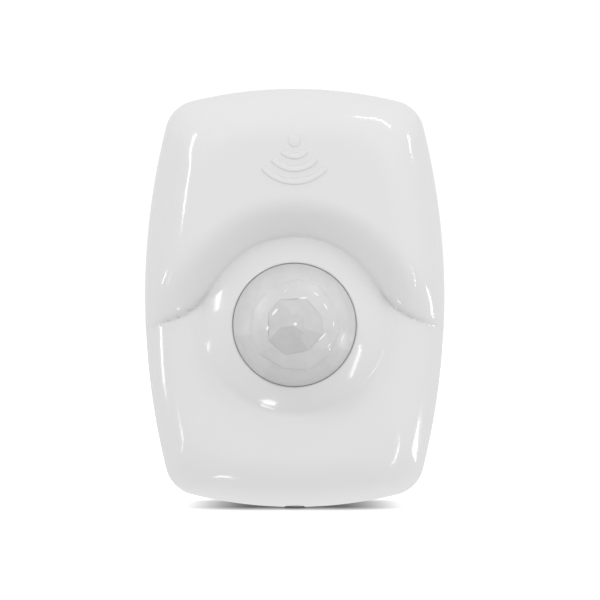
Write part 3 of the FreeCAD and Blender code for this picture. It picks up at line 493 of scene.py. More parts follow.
def box_mesh(low, high):
    """Corner points and faces of a box."""
    points = [(x, y, z) for x in (low[0], high[0]) for y in (low[1], high[1]) for z in (low[2], high[2])]
    return points, [(0, 1, 3, 2), (4, 6, 7, 5), (0, 4, 5, 1), (2, 3, 7, 6), (0, 2, 6, 4), (1, 5, 7, 3)]


def box_object(name, low, high, bevel=0.0):
    points, faces = box_mesh(low, high)
    made = bpy.data.meshes.new(name)
    made.from_pydata(points, [], faces)
    if bevel:
        work = bmesh.new()
        work.from_mesh(made)
        bmesh.ops.bevel(work, geom=work.edges[:], offset=bevel, segments=2, affect="EDGES", profile=0.7)
        work.to_mesh(made)
        work.free()
    return finished_object(name, made)


def lathe(name, profile, centre, along="Y", steps=64, sharp=35.0):
    """Turns (radius, distance) pairs about an axis through centre; distance runs to -Y, or to +Z."""
    turn = np.arange(steps) * 2 * math.pi / steps
    rings = []
    for radius, reach in profile:
        radius = max(radius, 1e-6)
        a, b = radius * np.cos(turn), radius * np.sin(turn)
        if along == "Y":
            ring = np.stack([centre[0] + a, np.full(steps, centre[1] - reach), centre[2] + b], 1)
        else:
            ring = np.stack([centre[0] + a, centre[1] + b, np.full(steps, centre[2] + reach)], 1)
        rings.append(ring)
    closed = profile[0][0] > 0 and profile[-1][0] > 0
    return mesh_from_rings(name, rings, closed=closed, sharp=sharp)


def joined(name, pieces):
    """Several mesh objects as one."""
    bpy.ops.object.select_all(action="DESELECT")
    for piece in pieces:
        piece.select_set(True)
    bpy.context.view_layer.objects.active = pieces[0]
    bpy.ops.object.join()
    pieces[0].name = name
    return pieces[0]


def cut(piece, cutter):
    """Takes one closed mesh out of another and removes the cutter."""
    boolean = piece.modifiers.new("cut", "BOOLEAN")
    boolean.operation = "DIFFERENCE"
    boolean.solver = "EXACT"
    boolean.object = cutter
    bpy.context.view_layer.update()
    result = bpy.data.meshes.new_from_object(piece.evaluated_get(bpy.context.evaluated_depsgraph_get()))
    piece.modifiers.clear()
    piece.data = result
    bpy.data.objects.remove(cutter)
    return piece


print("building blocks ready")

# %% Pockets, notch, pad and post
screw_low, screw_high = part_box("cover_screw")
screw_depth = -(screw_low.y + screw_high.y) / 2
bottom = -HEIGHT / 2
hook_depth = (RIM + 1.6 * MM, RIM + 4.3 * MM)


def slot_cutter(name, radius, top):
    """A slot open to the wall with a round end at the screw."""
    turn = np.linspace(math.pi, 2 * math.pi, 25)
    edge = [(radius * math.cos(a), -screw_depth + radius * math.sin(a)) for a in turn]
    edge = [(-radius, 0.001)] + edge + [(radius, 0.001)]
    low_points = [(x, y, bottom - MM) for x, y in edge]
    points = low_points + [(x, y, bottom + top) for x, y in edge]
    n = len(edge)
    faces = [tuple(range(n)), tuple(range(2 * n - 1, n - 1, -1))]
    faces += [(k, (k + 1) % n, n + (k + 1) % n, n + k) for k in range(n)]
    made = bpy.data.meshes.new(name)
    made.from_pydata(points, [], faces)
    return finished_object(name, made)


PAD_LOW, PAD_HIGH = bottom + 0.9 * WALL, bottom + 3.9 * MM
pad = box_object("screw_pad", (-6 * MM, -10 * MM, PAD_LOW), (6 * MM, -RIM, PAD_HIGH))
for piece in (shell, pad):
    cut(piece, slot_cutter("shank_slot", 1.8 * MM, 4.9 * MM))
    cut(piece, slot_cutter("head_slot", 2.45 * MM, 2.3 * MM))
for x in (-9 * MM, 9 * MM):
    roof = HEIGHT / 2 - 1.25 * MM
    half = 3.85 * MM
    pocket_low, pocket_high = (x - half, -hook_depth[1], roof - 4 * MM), (x + half, -hook_depth[0], roof)
    cut(shell, box_object("pocket", pocket_low, pocket_high))
plunger_low, plunger_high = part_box("tamper_plunger")
post_x, post_z = (plunger_low.x + plunger_high.x) / 2, (plunger_low.z + plunger_high.z) / 2
post_tip = -plunger_low.y + 0.3 * MM
post_root = float(inner_depth(post_x, post_z)) + WALL / 2
post_profile = [(0, post_tip), (1.7 * MM, post_tip), (2 * MM, post_tip + 0.3 * MM)]
post_profile += [(2 * MM, post_root), (0, post_root)]
post = lathe("tamper_post", post_profile, (post_x, 0, post_z))
ring_rear = -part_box("lens_retainer")[1].y
beads = []
for turn in (90, 210, 330):
    x, z = SEAT * math.cos(math.radians(turn)), LENS_Z + SEAT * math.sin(math.radians(turn))
    shape = [(0, ring_rear - 0.8 * MM), (0.5 * MM, ring_rear - 0.8 * MM), (0.7 * MM, ring_rear - 0.3 * MM),
             (0.7 * MM, ring_rear), (0, ring_rear)]
    beads.append(lathe("snap_bead", shape, (x, 0, z), steps=24))
cover = joined("cover_shell", [shell, pad, post] + beads)
cover.data.polygons.foreach_set("use_smooth", [True] * len(cover.data.polygons))
cover.data.set_sharp_from_angle(angle=math.radians(40))
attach(cover, "cover")
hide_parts("front_cover")
cover.data.materials.clear()
cover.data.materials.append(cover_white)
print("cover:", len(cover.data.polygons), "faces")

# %% [markdown]
# The hood carries a small raised mark: a dot with three arcs spreading below it, the plain sign for a
# watched field. Each arc is a strip laid on the skin, with a flat top and sloping sides, so its edges
# catch the light the way low relief in a mould does.

# %% The raised mark
MARK_Z = HEIGHT / 2 - 14.4 * MM
MARK_RISE = 0.35 * MM
SLOPE = 0.18 * MM


def relief_strip(name, radius, half_band, half_angle, steps=72):
    """A raised band along an arc below the mark's centre, following the skin of the hood."""
    sweep = np.linspace(-half_angle, half_angle, steps + 1)
    foot, shoulder, flat = half_band + SLOPE, half_band, half_band - 0.12 * MM
    section = [(-foot, -0.1 * MM), (-shoulder, 0.85 * MARK_RISE), (-flat, MARK_RISE)]
    section += [(flat, MARK_RISE), (shoulder, 0.85 * MARK_RISE), (foot, -0.1 * MM)]
    rings = []
    for k, angle in enumerate(sweep):
        at_end = k in (0, steps)
        ring = []
        for offset, rise in section:
            r = radius + offset
            x, z = r * math.sin(angle), MARK_Z - r * math.cos(angle)
            ring.append((x, -(float(outer_depth(x, z)) + (-0.1 * MM if at_end else rise)), z))
        rings.append(np.array(ring))
    return mesh_from_rings(name, rings, closed=False, sharp=50.0)


dot_profile = []
for radius, rise in ((1.5, -0.1), (1.3, 0.28), (1.15, 0.35), (0, 0.35)):
    dot_profile.append((radius * MM, float(outer_depth(0.0, MARK_Z)) + rise * MM))
mark_parts = [lathe("mark_dot", dot_profile, (0, 0, MARK_Z), steps=48)]
for radius in (3.6, 6.6, 9.6):
    mark_parts.append(relief_strip("mark_arc", radius * MM, 0.55 * MM, math.radians(50)))
mark = joined("cover_mark", mark_parts)
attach(mark, "cover")
mark.data.materials.append(cover_white)
print("mark parts:", len(mark_parts))

# %% [markdown]
# ## The lens
# The dome is pressed from milky polyethylene. Its inside is divided into small lenses, so the thin wall
# shows them as flattened cells: a group in the middle inside an uneven octagon, and rings of larger cells
# round it. We build the dome cell by cell. Each cell starts on the smooth dome and is pulled part
# of the way towards the flat patch between its corners, which leaves a fine crease to every neighbour.

# %% The smooth dome
LENS = APERTURE - 0.08 * MM
SPRING = LIP - 0.2 * MM
RIDGE_HIGH = 0.10 * MM
DOME_TOP = LENS_TOP - RIDGE_HIGH
DOME_RISE = DOME_TOP - SPRING
DOME_BALL = (LENS**2 + DOME_RISE**2) / (2 * DOME_RISE)
LENS_WALL = 0.8 * MM
DOME_WALL = 0.4 * MM


def on_dome(radius, turn, inward=0.0):
    """Point of the dome at a distance and angle round the lens axis."""
    radius = min(radius, LENS)
    ball = DOME_BALL - inward
    depth = DOME_TOP - DOME_BALL + math.sqrt(max(ball * ball - radius * radius, 0))
    return Vector((radius * math.cos(turn), -depth, LENS_Z + radius * math.sin(turn)))


print("dome ball radius", DOME_BALL / MM, "mm, rise", DOME_RISE / MM, "mm")

# %% [markdown]
# The cells lie between rings of corners. The corners of the octagon are nudged a little by a seeded random
# number, because pressed lens cells are laid out by optics and never look like a regular polygon.

# %% Cells of the lens
picker = np.random.default_rng(12)
CELL_RINGS = [(3.1, 6, 0.35), (6.9, 8, 0.16), (10.6, 11, 0.12), (13.3, 15, 0.05)]
CELL_PHASE = 0.4
FLATTEN_BY_RING = (0.35, 0.35, 0.16, 0.12, 0.10)
CELL_STEPS = 10


def ring_corners(radius, count, phase, jitter):
    """Corners round the lens, slightly uneven in radius and angle."""
    corners = []
    for k in range(count):
        r = radius * (1 + jitter * 0.5 * (picker.random() - 0.5))
        corners.append((r * MM, phase + 2 * math.pi * (k + 2 * jitter * (picker.random() - 0.5)) / count))
    return corners


def ring_point(ring, share):
    """Place across the lens at a share of a ring's turn; straight from corner to corner."""
    count = len(ring)
    k = int(math.floor(share * count))
    part = share * count - k
    (r0, t0), (r1, t1) = ring[k % count], ring[(k + 1) % count]
    first = Vector((r0 * math.cos(t0), r0 * math.sin(t0)))
    return first.lerp(Vector((r1 * math.cos(t1), r1 * math.sin(t1))), part)


def rim_point(share):
    """The same on the round rim of the dome."""
    turn = 2 * math.pi * share + CELL_PHASE
    return Vector((LENS * math.cos(turn), LENS * math.sin(turn)))


def lifted(flat):
    """A place across the lens, raised onto the dome."""
    return on_dome(flat.length, math.atan2(flat.y, flat.x))


def cell_patch(work, inner, outer, start, end, flatten, see_through_and_shade, layer):
    """Adds the cell between two rings from one share of the turn to another, and stores its darkening."""
    corners = [lifted(edge(share)) for edge in (inner, outer) for share in (start, end)]
    grid = []
    for i in range(CELL_STEPS + 1):
        v = i / CELL_STEPS
        row = []
        for j in range(CELL_STEPS + 1):
            u = j / CELL_STEPS
            share = start + (end - start) * u
            ball = lifted(inner(share).lerp(outer(share), v))
            low, high = corners[0].lerp(corners[1], u), corners[2].lerp(corners[3], u)
            flat_y = low.y * (1 - v) + high.y * v
            at_rim = outer is rim_point and i == CELL_STEPS
            ball.y = ball.y if at_rim else ball.y * (1 - flatten) + flat_y * flatten
            row.append(work.verts.new(ball))
        grid.append(row)
    for i in range(CELL_STEPS):
        for j in range(CELL_STEPS):
            face = work.faces.new((grid[i][j], grid[i][j + 1], grid[i + 1][j + 1], grid[i + 1][j]))
            face.smooth = True
            face[layer] = see_through_and_shade


rings = [ring_corners(r, n, CELL_PHASE, jitter) for r, n, jitter in CELL_RINGS]
print("corners per ring:", [len(ring) for ring in rings])


# %% Stitch the rings into cells
TINT_BY_RING = (0.44, 0.38, 0.12, 0.14, 0.16)


def cell_see_through_and_shade(level, turn):
    """How dark a cell is drawn: see-through most in the middle, plus painted shade on the lower side."""
    # The lower side is darkened as painted shade; the rest is the dark behind the milky wall.
    lower = max(0.0, -math.sin(turn))
    own = TINT_BY_RING[level] * (0.75 + 0.35 * picker.random())
    return min(1.0, own + 0.24 * lower * (0.7 + 0.6 * picker.random()))


work = bmesh.new()
see_through_and_shade_layer = work.faces.layers.float.new("cell")
cell = 0
edges = [lambda share: Vector((0.0, 0.0))]
edges += [lambda share, ring=ring: ring_point(ring, share) for ring in rings] + [rim_point]
counts = [len(ring) for ring in rings] + [len(rings[-1])]
for level, count in enumerate(counts):
    for k in range(count):
        see_through_and_shade = cell_see_through_and_shade(level, 2 * math.pi * (k + 0.5) / count + CELL_PHASE)
        flatten = FLATTEN_BY_RING[level]
        start, end = k / count, (k + 1) / count
        cell_patch(work, edges[level], edges[level + 1], start, end, flatten, see_through_and_shade, see_through_and_shade_layer)
        cell += 1
bmesh.ops.remove_doubles(work, verts=work.verts[:], dist=0.00001)
dome_mesh = bpy.data.meshes.new("lens_dome")
work.to_mesh(dome_mesh)
work.free()
print("cells:", cell, "faces:", len(dome_mesh.polygons))

# %% [markdown]
# Under the dome come the straight skirt, the flange that the ring presses on, and the inside of the wall.
# They are a lathe shape, joined to the cells. The dome's sparkles are painted highlights: short, slightly
# raised slivers in a brighter, glossier white than the lens, laid where cells meet and on the gate mark in
# the middle.

# %% Skirt, flange and inside
FLANGE = SEAT - 0.4 * MM
FLANGE_THICK = 1.2 * MM
skirt = [(LENS, SPRING), (LENS, SEAT_DEPTH), (FLANGE, SEAT_DEPTH), (FLANGE, SEAT_DEPTH - FLANGE_THICK)]
skirt += [(LENS - LENS_WALL, SEAT_DEPTH - FLANGE_THICK)]
for k in range(25):
    radius = (LENS - LENS_WALL) * math.cos(k / 24 * math.pi / 2)
    skirt.append((radius, -on_dome(radius, 0, DOME_WALL).y))
skirt_piece = lathe("lens_skirt", skirt, (0, 0, LENS_Z), steps=96)


def glint(radius, turn, heading, long, wide):
    """A tiny raised sliver on the dome, pointed at both ends, that carries a painted highlight."""
    middle = on_dome(radius * MM, math.radians(turn))
    long, wide = long * MM, wide * MM
    up = (middle - Vector((0, -(DOME_TOP - DOME_BALL), LENS_Z))).normalized()
    way = Vector((math.cos(math.radians(heading)), 0, math.sin(math.radians(heading))))
    way = (way - up * way.dot(up)).normalized()
    across = up.cross(way)
    tool = bmesh.new()
    bmesh.ops.create_icosphere(tool, subdivisions=3, radius=1)
    for vert in tool.verts:
        taper = math.sqrt(max(0.0, 1 - vert.co.x**2)) ** 0.5
        shift = way * vert.co.x * long + across * vert.co.y * wide * taper + up * vert.co.z * 0.16 * MM
        vert.co = middle - up * 0.06 * MM + shift
    made = bpy.data.meshes.new("glint")
    tool.to_mesh(made)
    tool.free()
    return finished_object("lens_glint", made)


# distance and angle round the lens axis, heading, length and width, all in mm and degrees
HIGHLIGHT_SLIVERS = [
    (0.4, 60, 0, 0.45, 0.36), (5.5, 145, 48, 1.1, 0.30), (6.3, 186, 65, 0.6, 0.28), (6.7, 72, 6, 1.1, 0.22),
    (8.9, 55, -38, 0.8, 0.22), (8.5, 31, -62, 0.9, 0.24), (9.1, 2, 86, 0.6, 0.20), (7.0, 338, 40, 1.3, 0.24),
    (9.3, 330, 42, 0.7, 0.16), (9.9, 326, -50, 0.6, 0.16), (8.2, 104, 50, 0.5, 0.14),
    (11.6, 346, 62, 1.3, 0.10),
]
highlight_glints = [glint(*sliver) for sliver in HIGHLIGHT_SLIVERS]
lens_dome = bpy.data.objects.new("lens_dome", dome_mesh)
bpy.context.scene.collection.objects.link(lens_dome)
dome_mesh.set_sharp_from_angle(angle=math.radians(4))
print("slivers:", len(highlight_glints))

# %% [markdown]
# The plastic of the lens is milky, so the dark space behind it shows through a little. The number stored on
# each cell darkens it: most in the middle, where the sensor sits close behind, and more on the lower side as
# painted shade, since less light falls into the dome there. A soft cloud of noise breaks the cells up.

# %% Finish: milky lens
lens_milk = finish("Milky polyethylene", (0.72, 0.72, 0.72), 0.34, fine=900.0, slow=220.0, bump=0.03,
                   depth=0.00003, spread=0.08, dust=0.05, mottle=0.08)
tree = lens_milk.node_tree
shader = tree.nodes["Principled BSDF"]
plain_link = shader.inputs["Base Color"].links[0].from_socket
place = node(tree, "TexCoord")
cloud = node(tree, "TexNoise", Scale=420.0, Detail=3.0)
tree.links.new(place.outputs["Object"], cloud.inputs["Vector"])
number = node(tree, "Attribute", attribute_name="cell")
clouded = maths(tree, "MULTIPLY", cloud.outputs[0], 0.30)
through_and_shade = maths(tree, "ADD", maths(tree, "MULTIPLY", number.outputs["Fac"], 0.85), clouded, clamp=True)
shade = blended(tree, through_and_shade, plain_link, (0.42, 0.42, 0.425))
tree.links.new(shade, shader.inputs["Base Color"])
# The slivers are painted highlights: near-white with a clear coat, brighter than the milky lens round them.
painted_highlight_white = finish("Painted highlight white", (0.93, 0.93, 0.93), 0.10, bump=0.02, dust=0.0, mottle=0.03, coat=0.8)
highlight_slivers = joined("lens_painted_highlights", highlight_glints)
highlight_slivers.data.materials.clear()
highlight_slivers.data.materials.append(painted_highlight_white)
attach(highlight_slivers, "cover")
lens = joined("lens", [lens_dome, skirt_piece])
lens.data.materials.clear()
lens.data.materials.append(lens_milk)
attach(lens, "cover")
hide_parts("fresnel_lens")
print("lens:", len(lens.data.polygons), "faces")

# %% [markdown]
# ## Finishes for the pieces behind the cover
# Every other piece keeps the shape it has in the frame and gets a finish of its own. Plastics differ in
# colour and polish, plated metal has long drawn streaks, and the rest are laminate, epoxy and ceramic.
# One table lists them by the piece's name, so it's easy to see that nothing is left out.

# %% Plain finishes
satin_black = finish("Satin black plastic", (0.018, 0.018, 0.019), 0.42, edge=(0.06, 0.06, 0.06), bump=0.2)
dull_black = finish("Moulding compound", (0.022, 0.022, 0.024), 0.55, edge=(0.07, 0.07, 0.07),
                    fine=3000.0, bump=0.35)
ring_white = finish("Ring plastic", (0.62, 0.62, 0.60), 0.45, bump=0.15)
button_white = finish("Button plastic", (0.70, 0.69, 0.65), 0.35, bump=0.1)
clear_red = finish("Tinted indicator plastic", (0.45, 0.02, 0.015), 0.12, edge=(0.7, 0.1, 0.08), coat=0.6)
terminal_blue = finish("Terminal plastic", (0.03, 0.16, 0.42), 0.35, edge=(0.1, 0.3, 0.6), bump=0.2)
trimmer_blue = finish("Trimmer plastic", (0.04, 0.13, 0.40), 0.3, edge=(0.12, 0.28, 0.6), bump=0.15)
rotor_white = finish("Rotor plastic", (0.72, 0.70, 0.64), 0.35, bump=0.1)
relay_white = finish("Relay case", (0.66, 0.65, 0.60), 0.4, bump=0.2)
window_dark = finish("Silicon window", (0.05, 0.045, 0.05), 0.08, edge=(0.1, 0.1, 0.1), bump=0.02, coat=0.5)
ceramic_black = finish("Resistor body", (0.03, 0.03, 0.035), 0.35, edge=(0.5, 0.5, 0.5), wear=0.00025)
ceramic_tan = finish("Capacitor body", (0.42, 0.30, 0.17), 0.35, edge=(0.6, 0.58, 0.55), wear=0.00025)
spacer_black = finish("Spacer plastic", (0.02, 0.02, 0.02), 0.5, bump=0.25)
print("plain finishes ready")

# %% [markdown]
# Metal needs a different surface. Stamped, drawn or plated parts carry fine parallel marks, so a stretched
# noise drives both the roughness and the bump. The group takes the direction as a scale on each axis.

# %% Group: drawn metal
drawn, inside, out = start_group(
    "Drawn metal",
    [("Stretch", "Vector", (200.0, 200.0, 3000.0)), ("Gloss", "Float", 0.25), ("Streak", "Float", 0.2)],
    [("Height", "Float"), ("Roughness", "Float")],
)
place = node(drawn, "TexCoord")
pulled = node(drawn, "Mapping")
drawn.links.new(place.outputs["Object"], pulled.inputs["Vector"])
drawn.links.new(inside.outputs["Stretch"], pulled.inputs["Scale"])
lines = node(drawn, "TexNoise", Scale=1.0, Detail=3.0)
drawn.links.new(pulled.outputs[0], lines.inputs["Vector"])
drawn.links.new(lines.outputs[0], out.inputs["Height"])
streaks = maths(drawn, "MULTIPLY", lines.outputs[0], inside.outputs["Streak"])
drawn.links.new(maths(drawn, "ADD", inside.outputs["Gloss"], streaks, clamp=True), out.inputs["Roughness"])


def metal_finish(name, colour, gloss, stretch=(200.0, 200.0, 3000.0), streak=0.2, bump=0.12, tarnish=0.12):
    """A metal with drawn lines, brighter edges and faint tarnish."""
    made = bpy.data.materials.new(name)
    made.use_nodes = True
    tree = made.node_tree
    shader = tree.nodes["Principled BSDF"]
    shader.inputs["Metallic"].default_value = 1.0
    metal = node(tree, "Group", node_tree=drawn)
    metal.inputs["Stretch"].default_value = stretch
    metal.inputs["Gloss"].default_value = gloss
    metal.inputs["Streak"].default_value = streak
    edges = node(tree, "Group", node_tree=worn)
    stain = node(tree, "TexNoise", Scale=350.0, Detail=4.0)
    tree.links.new(node(tree, "TexCoord").outputs["Object"], stain.inputs["Vector"])
    dull = tuple(c * (1 - tarnish) for c in colour)
    base = blended(tree, stain.outputs[0], dull, colour)
    base = blended(tree, edges.outputs["Mask"], base, tuple(min(1.0, c * 1.2) for c in colour))
    tree.links.new(base, shader.inputs["Base Color"])
    tree.links.new(metal.outputs["Roughness"], shader.inputs["Roughness"])
    raise_it = node(tree, "Bump", Strength=bump, Distance=0.00002)
    tree.links.new(metal.outputs["Height"], raise_it.inputs["Height"])
    tree.links.new(raise_it.outputs[0], shader.inputs["Normal"])
    return made


plated = metal_finish("Zinc-plated steel", (0.62, 0.63, 0.65), 0.22)
nickel = metal_finish("Nickelled can", (0.66, 0.64, 0.60), 0.18, stretch=(400.0, 400.0, 400.0), streak=0.12)
tin = metal_finish("Tinned lead", (0.70, 0.70, 0.69), 0.28, stretch=(900.0, 200.0, 900.0))
brass = metal_finish("Clamp brass", (0.75, 0.56, 0.28), 0.28)
spring_steel = metal_finish("Spring steel", (0.45, 0.45, 0.46), 0.25)
aluminium = metal_finish("Capacitor sleeve", (0.72, 0.72, 0.73), 0.3, stretch=(2500.0, 200.0, 2500.0))
print("metals ready")

# %% [markdown]
# The circuit board is glass cloth in epoxy under green lacquer. Copper tracks lie beneath the lacquer and
# show as lighter lines. A brick pattern with thin joints makes runs of track along and
# across, and a noise decides where there is a run and where the board is bare.

# %% Finish: circuit board
board_green = finish("Board laminate", (0.012, 0.10, 0.035), 0.28, edge=(0.35, 0.33, 0.2), bump=0.2, coat=0.3)
tree = board_green.node_tree
shader = tree.nodes["Principled BSDF"]
lacquer = shader.inputs["Base Color"].links[0].from_socket
place = node(tree, "TexCoord")
flat = node(tree, "SeparateXYZ")
tree.links.new(place.outputs["Object"], flat.inputs[0])
plan = node(tree, "CombineXYZ")
tree.links.new(flat.outputs["X"], plan.inputs["X"])
tree.links.new(flat.outputs["Z"], plan.inputs["Y"])
tracks = node(tree, "TexBrick", Scale=1.0, offset=0.5, offset_frequency=3, squash=1.6, squash_frequency=4)
tree.links.new(plan.outputs[0], tracks.inputs["Vector"])
for label, value in (("Brick Width", 0.0075), ("Row Height", 0.0019), ("Mortar Size", 0.00028)):
    tracks.inputs[label].default_value = value
zones = node(tree, "TexNoise", Scale=90.0, Detail=1.0)
tree.links.new(place.outputs["Object"], zones.inputs["Vector"])
routed = maths(tree, "GREATER_THAN", zones.outputs[0], 0.44)
copper = maths(tree, "MULTIPLY", tracks.outputs["Fac"], routed)
tree.links.new(blended(tree, copper, lacquer, (0.05, 0.24, 0.08)), shader.inputs["Base Color"])
print("board finish ready")

# %% [markdown]
# Now each piece of the frame gets its finish. The table is checked against the frame, so a piece that was
# forgotten stops the script here instead of showing up grey in the picture.

# %% Give every piece its finish
FINISHES = {
    "back_plate": plate_white, "cover_screw": plated, "board_screws": plated, "circuit_board": board_green,
    "pir_spacer": spacer_black, "pir_sensor": nickel, "pir_window": window_dark, "pir_leads": tin,
    "indicator_led": clear_red, "terminal_housing": terminal_blue, "terminal_cages": brass,
    "terminal_screws": plated, "tamper_switch": satin_black, "tamper_spring": spring_steel,
    "range_trimmer": trimmer_blue, "timer_trimmer": trimmer_blue, "jumper_bases": satin_black,
    "jumper_pins": tin, "processor_chip": dull_black, "amplifier_chip": dull_black, "chip_leads": tin,
    "alarm_relay": relay_white, "filter_capacitors": aluminium, "input_diode": dull_black,
    "chip_resistors": ceramic_black, "chip_capacitors": ceramic_tan, "lens_retainer": ring_white,
    "tamper_plunger": button_white, "range_rotor": rotor_white, "timer_rotor": rotor_white,
    "pulse_jumper": satin_black, "led_jumper": satin_black, "front_cover": cover_white,
    "fresnel_lens": lens_milk,
}
for name, piece in nodes.items():
    piece.data.materials.clear()
    piece.data.materials.append(FINISHES[name])
print("finished pieces:", len(nodes))

# %% [markdown]
# ## Pieces the frame keeps simple
# The tamper spring is a plain tube in the frame. The real one is wound wire, so a helix takes its place,
# with a closed turn at each end.

# %% The coil of the tamper spring
spring_low, spring_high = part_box("tamper_spring")
WIRE = 0.13 * MM
spring_x, spring_z = (spring_low.x + spring_high.x) / 2, (spring_low.z + spring_high.z) / 2
coil_radius = (spring_high.x - spring_low.x) / 2 - WIRE
coil_long = spring_high.y - spring_low.y - 2 * WIRE
COIL_TURNS = 5
coil_steps = 24 * COIL_TURNS
turn = np.linspace(0, 2 * math.pi * COIL_TURNS, coil_steps + 1)
share = np.clip((turn / (2 * math.pi) - 0.8) / (COIL_TURNS - 1.6), 0, 1)
coil_line = [Vector((spring_x + coil_radius * math.cos(a), spring_high.y - WIRE - coil_long * s,
                     spring_z + coil_radius * math.sin(a))) for a, s in zip(turn, share)]


def wire_mesh(name, line, radius, sides=10):
    """A round wire along a line of points, closed at both ends."""
    rings = []
    for k, point in enumerate(line):
        ahead = (line[min(k + 1, len(line) - 1)] - line[max(k - 1, 0)]).normalized()
        aside = ahead.cross(Vector((0, 1, 0))).normalized()
        over = aside.cross(ahead)
        turns = [2 * math.pi * j / sides for j in range(sides)]
        rings.append(np.array([point + (aside * math.cos(a) + over * math.sin(a)) * radius for a in turns]))
    made = mesh_from_rings(name, rings, closed=False, sharp=60.0)
    work = bmesh.new()
    work.from_mesh(made.data)
    bmesh.ops.holes_fill(work, edges=[e for e in work.edges if e.is_boundary], sides=0)
    work.to_mesh(made.data)
    work.free()
    return made


coil = wire_mesh("tamper_coil", coil_line, WIRE)
coil.data.materials.append(spring_steel)
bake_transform(coil)
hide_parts("tamper_spring")
print("coil:", len(coil.data.polygons), "faces")

# %% [markdown]
# Chip resistors and capacitors are small blocks with a tinned cap on either end. The frame holds the
# blocks as one mesh each, so we find every loose block in it and set a slightly larger cap on its ends.

# %% Metal ends of resistors and capacitors


def ends_of(name, share, rise):
    """Metal end caps on the small two-ended parts of a node, one mesh for all of them."""
    source = nodes[name].data
    work = bmesh.new()
    work.from_mesh(source)
    work.transform(nodes[name].matrix_world)
    seen, caps = set(), []
    for start in work.verts:
        if start.index in seen:
            continue
        stack, island = [start], []
        seen.add(start.index)
        while stack:
            vert = stack.pop()
            island.append(vert.co.copy())
            for edge in vert.link_edges:
                other = edge.other_vert(vert)
                if other.index not in seen:
                    seen.add(other.index)
                    stack.append(other)
        low = [min(p[k] for p in island) for k in range(3)]
        high = [max(p[k] for p in island) for k in range(3)]
        band = (high[0] - low[0]) * share
        for a, b in ((low[0] - rise, low[0] + band), (high[0] - band, high[0] + rise)):
            cap_low, cap_high = (a, low[1] - rise, low[2] - rise), (b, high[1], high[2] + rise)
            caps.append(box_object("cap", cap_low, cap_high, rise))
    work.free()
    made = joined(name + "_ends", caps)
    made.data.materials.clear()
    made.data.materials.append(tin)
    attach(made, "base")
    return made


resistor_ends = ends_of("chip_resistors", 0.2, 0.04 * MM)
capacitor_ends = ends_of("chip_capacitors", 0.22, 0.04 * MM)
print("end caps on", len(resistor_ends.data.polygons), "and", len(capacitor_ends.data.polygons), "faces")

# %% [markdown]
# ## The setting
# The detector stands on its lower edge on a plain pale surface that runs out to pure white. Only the
# camera sees this floor: it throws no light back and hides no lamp. Its dark contact patch is a painted
# shadow, not cast by a lamp. It is drawn in the floor's own material by distance from where the object
# stands, a dense core in a faint halo, so it stays in place when the cover swings open.

# %% Floor
FLOOR_HALF = 3.0
floor_z = -HEIGHT / 2
work = bmesh.new()
bmesh.ops.create_grid(work, x_segments=8, y_segments=8, size=FLOOR_HALF)
floor_mesh = bpy.data.meshes.new("floor")
work.to_mesh(floor_mesh)
work.free()
floor = bpy.data.objects.new("floor", floor_mesh)
floor.location = (0, 0, floor_z)
bpy.context.scene.collection.objects.link(floor)
floor.visible_diffuse = False
floor.visible_glossy = False
floor.visible_shadow = False
paper = finish("Pale backdrop", (0.90, 0.90, 0.90), 0.6, fine=300.0, slow=8.0, bump=0.02,
               dust=0.0, mottle=0.01)
tree = paper.node_tree
glow = tree.nodes["Principled BSDF"]
glow.inputs["Emission Strength"].default_value = 1.0
place = node(tree, "TexCoord")
split = node(tree, "SeparateXYZ")
tree.links.new(place.outputs["Object"], split.inputs[0])


def contact_shadow(axis, middle, dark, clear):
    """Painted shadow share: 1 where the object stands and 0 beyond it, along one axis of the floor."""
    off = maths(tree, "ABSOLUTE", maths(tree, "SUBTRACT", split.outputs[axis], middle))
    fade = node(tree, "MapRange", interpolation_type="SMOOTHSTEP")
    tree.links.new(off, fade.inputs["Value"])
    for label, value in (("From Min", dark), ("From Max", clear), ("To Min", 1.0), ("To Max", 0.0)):
        fade.inputs[label].default_value = value
    return fade.outputs[0]


HALO_REACH = 0.055
HALO_DEPTH = 0.12
# The painted contact shadow darkens both the floor's colour and its glow.
shadow_core = maths(tree, "MULTIPLY", contact_shadow("X", 0.0, 0.010, 0.036), contact_shadow("Y", 0.003, 0.006, 0.022))
shadow_halo = maths(tree, "MULTIPLY", contact_shadow("X", 0.0, 0.0, HALO_REACH), contact_shadow("Y", 0.0, 0.0, HALO_REACH))
under = maths(tree, "MAXIMUM", shadow_core, maths(tree, "MULTIPLY", shadow_halo, HALO_DEPTH))
open_floor = maths(tree, "SUBTRACT", 1.0, under)
tree.links.new(blended(tree, open_floor, (0.0, 0.0, 0.0), (0.6, 0.6, 0.6)), glow.inputs["Emission Color"])
plain = glow.inputs["Base Color"].links[0].from_socket
tree.links.new(blended(tree, open_floor, (0.06, 0.06, 0.06), plain), glow.inputs["Base Color"])
floor_mesh.materials.append(paper)
print("floor at", floor_z)

# %% [markdown]
# The sky shows pure white to the camera but lights the object less brightly, so that its own whites stay
# below the background and its shape can be read. It is dimmer below than above: that is what darkens the
# underside of the hood. The Light Path node tells the camera's view of the sky from the object's.

